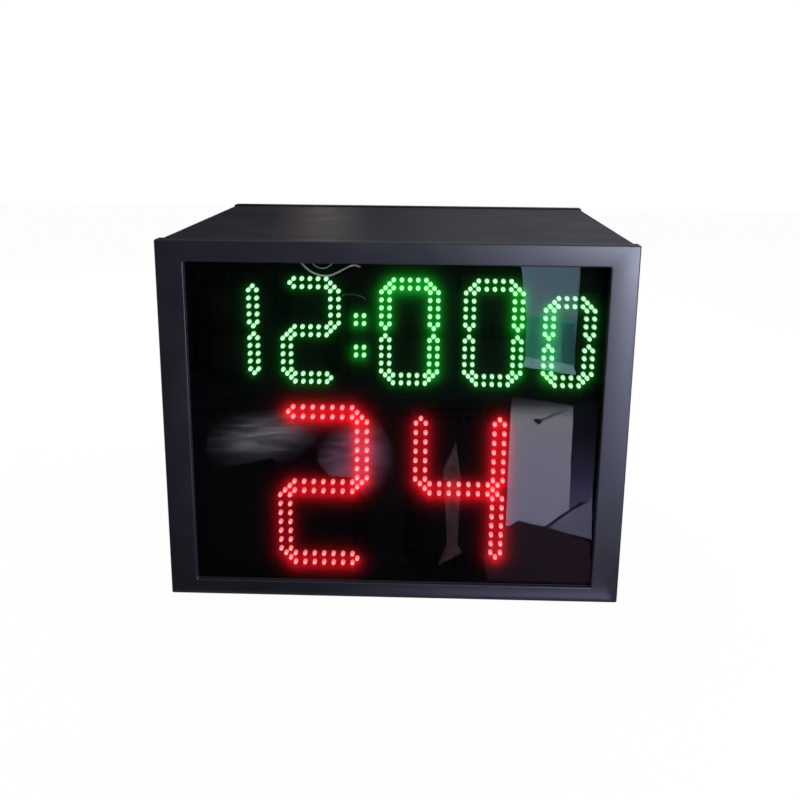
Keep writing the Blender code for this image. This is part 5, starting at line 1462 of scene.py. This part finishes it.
@dataclass
class Electronics:
    """What stands inside: power supply, boards, siren and their leads.

    Attributes:
        terminals: Number of terminals in the power supply's strip.
        terminal_pitch: Distance from terminal to terminal.
        terminal_wall: Thickness of the walls between them.
        terminal_seat: Height of a terminal's floor in the strip.
        terminal_screw: Radius and height of a terminal screw's head.
        wired: The terminals that hold a lead, each with the lead's diameter.
        card: Thickness of a circuit board.
        post: Height of the controller board's posts.
        post_inset: From the board's edges to a post.
        post_screw: Radius and height of a post screw's head.
        driver_post: Length of the driver board's posts.
        capacitors: Places of the capacitors, right of and behind the board's middle.
        sleeve: Profile of a capacitor's sleeve.
        lid: Profile of its bare top.
        siren_radius: Radius of the siren's can.
        siren_boss: Radius of the boss behind it.
        siren_mouth: Rings of its mouth in mm from its rim, each with its share of the radius.
        siren_can: Depths below its rim in mm, each with its share of the radius.
        siren_flange: Thickness of its flange.
        siren_edge: Width of the flange's eased edge.
        leads: Each round lead with its radius in mm.
    """

    terminals: int = 9
    terminal_pitch: float = 9.5 * MM
    terminal_wall: float = 1.5 * MM
    terminal_seat: float = 6.0 * MM
    terminal_screw: Point = (3.1 * MM, 1.7 * MM)
    wired: tuple[tuple[int, float], ...] = ((3, 5.6 * MM), (8, 4.0 * MM))
    card: float = 1.6 * MM
    post: float = 10.0 * MM
    post_inset: float = 8.0 * MM
    post_screw: Point = (2.8 * MM, 1.6 * MM)
    driver_post: float = 5.0 * MM
    capacitors: tuple[Point, ...] = (
        (-72.0 * MM, -4.0 * MM),
        (-72.0 * MM, -20.0 * MM),
        (32.0 * MM, -12.0 * MM),
        (68.0 * MM, 2.0 * MM),
    )
    sleeve: tuple[Point, ...] = (
        (0.0, 5.0 * MM), (10.6 * MM, 5.0 * MM), (11.2 * MM, 4.4 * MM), (11.2 * MM, 3.8 * MM),
    )
    lid: tuple[Point, ...] = ((11.0 * MM, 3.8 * MM), (11.4 * MM, 3.6 * MM), (11.3 * MM, 0.4 * MM))
    siren_radius: float = 36.0 * MM
    siren_boss: float = 12.0 * MM
    siren_mouth: tuple[Point, ...] = (
        (-2.4, 0.10), (-0.4, 0.16), (0.0, 0.20), (0.0, 0.30), (-2.0, 0.33), (-2.0, 0.44), (0.0, 0.47),
        (0.0, 0.57), (-2.0, 0.60), (-2.0, 0.90), (0.0, 0.95),
    )
    siren_can: tuple[Point, ...] = ((-4.0, 1.0), (-38.5, 0.90), (-40.0, 0.86))
    siren_flange: float = 4.0 * MM
    siren_edge: float = 0.8 * MM
    leads: tuple[tuple[str, float], ...] = (
        ("mains_lead", 2.8),
        ("display_lead", 2.0),
        ("socket_lead", 1.8),
        ("siren_lead", 1.6),
    )

    def build(self) -> None:
        """Builds the electronics."""
        self.build_supply()
        self.build_controller()
        low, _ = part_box("driver_board")
        front = low.y + self.driver_post
        finishes = [GREEN_BOARD, BLACK_NYLON, ZINC]
        eased_copy("driver_board", finishes, 0.2 * MM, layer_of(front, front + self.card, 1))
        self.build_siren()
        dress_node("ribbon_cable", GREY_PVC)
        for node, radius in self.leads:
            rounded_wire(node, BLACK_PVC, radius * MM)

    def build_supply(self) -> None:
        """Builds the vented case and the terminal strip with its screws."""
        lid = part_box("power_supply_case")[1].z - MM
        finishes = [ALUMINIUM, VENTED_ALUMINIUM]
        eased_copy("power_supply_case", finishes, 0.4 * MM, lambda face: int(face.z > lid))
        eased_copy("power_supply_terminals", BLACK_NYLON, 0.15 * MM)
        low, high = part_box("power_supply_terminals")
        lifted = dict(self.wired)
        first = low.x + self.terminal_wall + (self.terminal_pitch - self.terminal_wall) / 2
        spots = []
        for terminal in range(self.terminals):
            z = low.z + self.terminal_seat + lifted.get(terminal, 0.0)
            spots.append(((first + terminal * self.terminal_pitch, (low.y + high.y) / 2, z), UP))
        make_screws("power_supply_screws", spots, self.terminal_screw, ZINC)

    def build_controller(self) -> None:
        """Builds the controller board with its chips, capacitors and screws."""
        low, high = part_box("controller_board")
        middle = (low + high) / 2
        under = low.z + self.post
        over = under + self.card
        finishes = [GREEN_BOARD, BLACK_EPOXY, ZINC]
        eased_copy("controller_board", finishes, 0.2 * MM, layer_of(under, over, 2))
        places = [(middle.x + x, middle.y + y, over) for x, y in self.capacitors]
        parts = [
            [stood(turned(part, 32), place, UP) for place in places] for part in (self.sleeve, self.lid)
        ]
        make_piece("controller_capacitors", merged(*parts), [BLUE_SLEEVE, ALUMINIUM], Body.CABINET)
        columns = (low.x + self.post_inset, high.x - self.post_inset)
        lines = (low.y + self.post_inset, high.y - self.post_inset)
        spots = [((x, y, over), UP) for x in columns for y in lines]
        make_screws("controller_screws", spots, self.post_screw, ZINC)

    def build_siren(self) -> None:
        """Builds the siren with its ringed mouth, and its bracket."""
        low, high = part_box("siren")
        middle = (low + high) / 2
        flange = (high.x - low.x) / 2
        mouth, can = (
            [(high.y + depth * MM, share * self.siren_radius) for depth, share in rings]
            for rings in (self.siren_mouth, self.siren_can)
        )
        rim = [(high.y, flange - self.siren_edge), (high.y - self.siren_edge, flange)]
        rim.append((high.y - self.siren_flange, flange))
        boss = [(can[-1][0], self.siren_boss), (low.y, self.siren_boss)]
        shape = stood(turned(mouth + rim + can + boss, 64), (middle.x, 0.0, middle.z))
        stand_in("siren", "turned", shape, [BLACK_NYLON], 50.0)
        eased_copy("siren_bracket", ZINC, 0.3 * MM)


@dataclass
class SoftBox:
    """A soft rectangular studio lamp.

    Attributes:
        name: Its name.
        place: Where it stands.
        target: What it points at.
        width: Its width.
        height: Its height.
        power: Its power in watts.
        colour: The sRGB colour of its light.
        lights: Whether it lights surfaces.
        shows: Whether it shows in their gloss.
    """

    name: str
    place: Place
    target: Place
    width: float
    height: float
    power: float
    colour: str
    lights: bool = True
    shows: bool = True

    def build(self) -> None:
        """Adds the lamp to the scene."""
        light = bpy.data.lights.new(self.name, "AREA")
        light.shape = "RECTANGLE"
        light.size = self.width
        light.size_y = self.height
        light.energy = self.power
        light.color = linear(self.colour)[:3]
        lamp = placed(self.name, light)
        aim = Vector(self.target) - Vector(self.place)
        lamp.rotation_euler = aim.to_track_quat("-Z", "Y").to_euler()
        lamp.location = self.place
        lamp.visible_camera = False
        lamp.visible_diffuse = self.lights
        lamp.visible_glossy = self.shows


class Shading(Enum):
    """How a card's shades run across it."""

    ACROSS = 0
    ALONG = 1
    ROUND = 2


def lying(height: float, *outline: Point) -> tuple[Place, ...]:
    """Gives the corners of a level card from its outline seen from above."""
    return tuple((x, y, height) for x, y in outline)


def standing(depth: float, *outline: Point) -> tuple[Place, ...]:
    """Gives the corners of an upright card from its outline seen from the front."""
    return tuple((x, depth, z) for x, z in outline)


def spaced(*colours: str) -> Shades:
    """Gives colours even places from 0 to 1."""
    return tuple((index / (len(colours) - 1), colour) for index, colour in enumerate(colours))


@dataclass
class Card:
    """A glowing card beside the set, which only glossy surfaces show.

    Attributes:
        name: Its name.
        corners: Its corners in order.
        shades: Shares of its width, each with the sRGB colour there.
        shading: How the shades run.
        streaks: How strongly streaks along X break it up.
        strength: Strength of its light; the usual one shows its colours as written in the panel.
    """

    name: str
    corners: tuple[Place, ...]
    shades: Shades
    shading: Shading = Shading.ACROSS
    streaks: float = 0.0
    strength: float = 62.4

    def build(self) -> None:
        """Adds the card to the scene."""
        mesh = bpy.data.meshes.new(self.name)
        mesh.from_pydata(self.corners, [], [tuple(range(len(self.corners)))])
        card = placed(self.name, mesh)
        material = new_material(f"{self.name}_light")
        tree = material.node_tree
        place = add_node(tree, "ShaderNodeTexCoord").outputs["Generated"]
        ramp = add_node(tree, "ShaderNodeValToRGB", inputs={"Fac": self.share(tree, place)})
        stops = ramp.color_ramp.elements
        while len(stops) < len(self.shades):
            stops.new(1.0)
        for stop, (position, colour) in zip(stops, self.shades):
            stop.position = position
            stop.color = linear(colour)
        light = {"Color": ramp.outputs["Color"], "Strength": self.strength}
        glow = add_node(tree, "ShaderNodeEmission", inputs=light)
        if self.streaks:
            self.add_streaks(tree, place, glow)
        tree.links.new(glow.outputs[0], tree.nodes["Material Output"].inputs["Surface"])
        mesh.materials.append(material)
        for ray in ("camera", "diffuse", "transmission", "volume_scatter", "shadow"):
            setattr(card, f"visible_{ray}", False)

    def share(self, tree: Tree, place: bpy.types.NodeSocket) -> bpy.types.NodeSocket:
        """Gives how far across the shades a point of the card lies.

        Args:
            tree: The material's node tree.
            place: The point, from 0 to 1 on each axis.

        Returns:
            The output socket.
        """
        if self.shading is not Shading.ROUND:
            return add_node(tree, "ShaderNodeSeparateXYZ", inputs={0: place}).outputs[self.shading.value]
        middle = {"Vector": place, "Location": (-1, -1, 0), "Scale": (2, 2, 0)}
        centred = add_node(tree, "ShaderNodeMapping", inputs=middle).outputs["Vector"]
        gradient = {"gradient_type": "SPHERICAL"}
        return add_node(tree, "ShaderNodeTexGradient", gradient, {"Vector": centred}).outputs["Fac"]

    def add_streaks(self, tree: Tree, place: bpy.types.NodeSocket, glow: Node) -> None:
        """Breaks the light up in streaks, as on tiles that were mopped.

        Args:
            tree: The material's node tree.
            place: The point of the card, from 0 to 1 on each axis.
            glow: The node that gives the light.
        """
        slanted = {"Vector": place, "Rotation": (0, 0, 0.12), "Scale": (1.6, 9, 1)}
        drawn = add_node(tree, "ShaderNodeMapping", inputs=slanted).outputs["Vector"]
        wavy = {"Vector": drawn, "Scale": 2.0, "Detail": 4.0, "Distortion": 0.6}
        noise = add_node(tree, "ShaderNodeTexNoise", inputs=wavy)
        span = {"Value": noise.outputs["Fac"], "From Min": 0.4, "From Max": 0.62}
        span["To Min"] = self.strength * (1 - self.streaks)
        span["To Max"] = self.strength * (1 + self.streaks)
        broken = add_node(tree, "ShaderNodeMapRange", inputs=span)
        tree.links.new(broken.outputs["Result"], glow.inputs["Strength"])


@dataclass
class Studio:
    """The white studio: floor, surroundings, soft lamps, cards and the camera.

    Attributes:
        floor_size: Side of the square floor.
        floor_gap: How far the floor lies under the object.
        ambient: Strength of the surroundings' light on the object.
        whiteness: Share of even white in what the camera sees of the floor.
        camera_place: Where the photograph was taken from.
        camera_towards: Where the camera looked.
        camera_up: Its upward direction.
        lens: Its focal length in mm.
        sensor: Width of its sensor in mm.
    """

    floor_size: float = 12.0
    floor_gap: float = 0.2 * MM
    ambient: float = 0.35
    whiteness: float = 0.97
    camera_place: Place = (0.04393, -1.53665, 0.61773)
    camera_towards: Place = (-0.02855, 0.96417, -0.26376)
    camera_up: Place = (-0.01751, 0.26335, 0.96454)
    lens: float = 46.373
    sensor: float = 36.0

    def build(self) -> None:
        """Builds the studio."""
        self.build_floor()
        self.build_world()
        self.build_lamps()
        self.build_cards()
        self.build_camera()
        bpy.context.scene.view_settings.view_transform = "Standard"

    def seen(self, tree: Tree) -> bpy.types.NodeSocket:
        """Gives 1 for the rays that show the surroundings, and 0 for the rays that light things.

        Args:
            tree: The node tree.

        Returns:
            The output socket.
        """
        path = add_node(tree, "ShaderNodeLightPath").outputs
        shown = path["Is Camera Ray"]
        for name in ("Is Glossy Ray", "Is Transmission Ray"):
            either = add_node(tree, "ShaderNodeMath", {"operation": "MAXIMUM"}, {0: shown, 1: path[name]})
            shown = either.outputs[0]
        return shown

    def build_floor(self) -> None:
        """Builds the pale floor, which shows nearly white and keeps the object's shadow."""
        half = self.floor_size / 2
        mesh = bpy.data.meshes.new("studio_floor")
        corners = lying(0.0, (-half, -half), (half, -half), (half, half), (-half, half))
        mesh.from_pydata(corners, [], [(0, 1, 2, 3)])
        floor = placed("studio_floor", mesh)
        floor.location.z = -self.floor_gap
        material = new_material("painted_floor_matt")
        tree = material.node_tree
        shader = tree.nodes["Principled BSDF"]
        shader.inputs["Base Color"].default_value = linear("e6e6e6")
        shader.inputs["Roughness"].default_value = 0.9
        shader.inputs["Specular IOR Level"].default_value = 0.0
        white = add_node(tree, "ShaderNodeEmission", inputs={"Strength": 1.0}).outputs[0]
        factors = {0: self.seen(tree), 1: self.whiteness}
        share = add_node(tree, "ShaderNodeMath", {"operation": "MULTIPLY"}, factors).outputs[0]
        mixed = add_node(tree, "ShaderNodeMixShader", inputs={0: share, 1: shader.outputs[0], 2: white})
        tree.links.new(mixed.outputs[0], tree.nodes["Material Output"].inputs["Surface"])
        mesh.materials.append(material)

    def build_world(self) -> None:
        """Makes the surroundings white to the eye and dimmer as a light."""
        world = bpy.data.worlds.new("studio_surroundings")
        world.use_nodes = True
        bpy.context.scene.world = world
        tree = world.node_tree
        span = {"Value": self.seen(tree), "To Min": self.ambient, "To Max": 1.0}
        strength = add_node(tree, "ShaderNodeMapRange", inputs=span)
        tree.links.new(strength.outputs["Result"], tree.nodes["Background"].inputs["Strength"])
        tree.nodes["Background"].inputs["Color"].default_value = (1.0, 1.0, 1.0, 1.0)

    def build_lamps(self) -> None:
        """Places the soft lamps."""
        for lamp in (
            SoftBox("key_right", (1.7, -1.5, 1.0), (0.2, -0.2, 0.25), 1.2, 1.2, 60.0, "dfe6ff", shows=False),
            SoftBox("window_right", (0.68, -1.3, 0.50), (0.2, -0.28, 0.3), 0.34, 0.5, 62.0, "dfe4ff", False),
            SoftBox("key_rear", (-0.7, 2.3, 1.5), (0.0, 0.2, 0.2), 1.4, 1.4, 70.0, "ffffff", shows=False),
            SoftBox("top_soft", (0.3, 0.1, 2.2), (0.0, 0.0, 0.3), 1.6, 1.6, 14.0, "fff4e8"),
        ):
            lamp.build()

    def build_cards(self) -> None:
        """Stands up the cards that the panel and the satin coat mirror, each layer of them over the last."""
        lowest, low, floor, high = 0.001, 0.0015, 0.002, 0.003
        far, wall, near = -2.6, -1.05, -1.048
        along, rounded = Shading.ALONG, Shading.ROUND
        dark = spaced("000000", "000000")
        dusk = (
            (0.0, "000000"), (0.388, "0a0707"), (0.405, "8a7870"), (0.425, "c8beb6"),
            (0.457, "48484a"), (0.477, "48484a"), (0.525, "808084"), (0.65, "9898a0"),
        )
        tiles = ((0.0, "0a0a0c"), (0.08, "26262a"), (0.22, "63646b"), (0.6, "626170"), (1.0, "5d5c6f"))
        shaded = ((0.0, "040406"), (0.45, "0c0b14"), (0.75, "1d1c2b"), (1.0, "333249"))
        smear = (
            (0.0, "000000"), (0.2, "040404"), (0.42, "1a191c"),
            (0.62, "38363b"), (0.8, "4b494e"), (1.0, "525055"),
        )
        dusky = ((0.0, "000000"), (0.12, "0c070b"), (0.35, "2e2029"), (0.6, "423140"), (1.0, "493747"))
        bright = ((0.0, "000000"), (0.25, "3a3b48"), (0.7, "5c5e72"), (1.0, "6a6c84"))
        for card in (
            Card(
                "dim_floor",
                lying(lowest, (-1.6, far), (1.6, far), (1.6, -0.285), (-1.6, -0.285)),
                dark,
                strength=0.0,
            ),
            Card(
                "dim_wall",
                standing(far, (-1.6, lowest), (1.6, lowest), (1.6, 1.6), (-1.6, 1.6)),
                dark,
                strength=0.0,
            ),
            Card(
                "wall",
                standing(wall, (0.212, 0.40), (0.338, 0.40), (0.337, 0.237), (0.235, 0.237)),
                spaced("425560", "3f505a"),
            ),
            Card(
                "wall_low",
                standing(wall, (0.235, 0.237), (0.337, 0.237), (0.335, 0.137), (0.236, 0.154)),
                spaced("1f5248", "2b5a53", "305456"),
            ),
            Card(
                "doorway",
                standing(near, (0.305, 0.224), (0.333, 0.224), (0.337, 0.138), (0.309, 0.145)),
                spaced("1e3e42", "1c363c"),
            ),
            Card(
                "wall_base",
                standing(wall, (0.236, 0.154), (0.335, 0.137), (0.341, 0.117), (0.233, 0.133)),
                spaced("507070", "506c70"),
            ),
            Card(
                "tiles",
                lying(
                    floor, (0.236, -1.302), (0.366, -1.235), (0.271, -0.564), (0.228, -0.52), (0.19, -0.542),
                    (0.167, -0.516), (0.224, -1.208),
                ),
                tiles,
                along,
            ),
            Card(
                "tiles_shaded",
                lying(floor, (0.366, -1.235), (0.43, -1.28), (0.321, -0.647), (0.276, -0.60)),
                shaded,
                along,
            ),
            Card(
                "tiles_near",
                lying(floor, (0.228, -0.52), (0.321, -0.647), (0.294, -0.47)),
                spaced("424152", "424152"),
                along,
            ),
            Card(
                "tile_joint",
                lying(high, (0.225, -0.514), (0.302, -0.634), (0.303, -0.625), (0.229, -0.507)),
                spaced("0c0b12", "0c0b12"),
            ),
            Card(
                "lying_plug",
                lying(high, (0.264, -1.112), (0.278, -1.125), (0.282, -1.092), (0.270, -1.080)),
                spaced("121216", "121216"),
            ),
            Card(
                "lying_lead",
                lying(high, (0.279, -1.115), (0.340, -1.199), (0.343, -1.186), (0.279, -1.100)),
                spaced("26262c", "3c3c44"),
            ),
            Card(
                "smear",
                lying(
                    floor, (-0.43, -1.17), (-0.282, -1.22), (-0.195, -1.21), (-0.145, -1.03),
                    (-0.166, -0.88), (-0.191, -0.90), (-0.201, -0.81), (-0.229, -0.77),
                    (-0.246, -0.83), (-0.303, -0.785), (-0.32, -0.72), (-0.376, -0.83),
                ),
                smear,
                rounded,
                0.5,
            ),
            Card(
                "dusk_patch",
                lying(
                    high, (-0.179, -0.95), (-0.145, -1.03), (-0.075, -1.12), (-0.045, -1.01),
                    (-0.019, -0.87), (-0.012, -0.74), (-0.025, -0.635), (-0.037, -0.58),
                    (-0.066, -0.645), (-0.092, -0.73), (-0.129, -0.73), (-0.161, -0.81),
                ),
                dusky,
                rounded,
                0.35,
            ),
            Card(
                "floor_near",
                lying(
                    low, (0.165, -0.51), (0.187, -0.545), (0.231, -0.52), (0.291, -0.465), (0.271, -0.32),
                    (0.129, -0.32), (0.125, -0.40),
                ),
                spaced("130c12", "1b1117"),
            ),
            Card(
                "narrow_wedge",
                lying(
                    floor, (0.098, -0.952), (0.071, -0.782), (0.074, -0.441), (0.060, -0.365),
                    (0.096, -0.412), (0.090, -0.441), (0.102, -0.730),
                ),
                spaced("2e2023", "251a20"),
                along,
                0.3,
            ),
            Card(
                "floor_gleam",
                lying(floor, (-0.1, -0.313), (0.29, -0.313), (0.29, -0.285), (-0.1, -0.285)),
                spaced("000000", "534a60"),
                strength=74.0,
            ),
            Card(
                "floor_right",
                lying(floor, (0.37, -0.62), (0.47, -1.28), (0.80, -1.28), (0.62, -0.62)),
                bright,
                rounded,
                strength=170.0,
            ),
            Card(
                "backdrop",
                standing(1.0, (-1.5, 0.0), (1.5, 0.0), (1.5, 1.5), (-1.5, 1.5)),
                dusk,
                strength=1.0,
            ),
        ):
            card.build()

    def build_camera(self) -> None:
        """Stands the camera where the photograph was taken."""
        camera = bpy.data.cameras.new("photo_view")
        camera.lens = self.lens
        camera.sensor_width = self.sensor
        view = placed("photo_view", camera)
        towards = Vector(self.camera_towards).normalized()
        across = towards.cross(Vector(self.camera_up)).normalized()
        up = across.cross(towards)
        turn = Matrix((across, up, -towards)).transposed().to_4x4()
        view.matrix_world = Matrix.Translation(self.camera_place) @ turn
        bpy.context.scene.camera = view


def main() -> None:
    """Builds the looks in order."""
    logging.basicConfig(level=logging.INFO, format="%(message)s")
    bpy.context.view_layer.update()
    display = Display()
    assemblies = (Cabinet(), Window(display.glows()), display, Door(), Connectors(), Electronics(), Studio())
    for assembly in assemblies:
        assembly.build()
        LOG.info("%s is built", type(assembly).__name__)


if __name__ == "__main__":
    main()
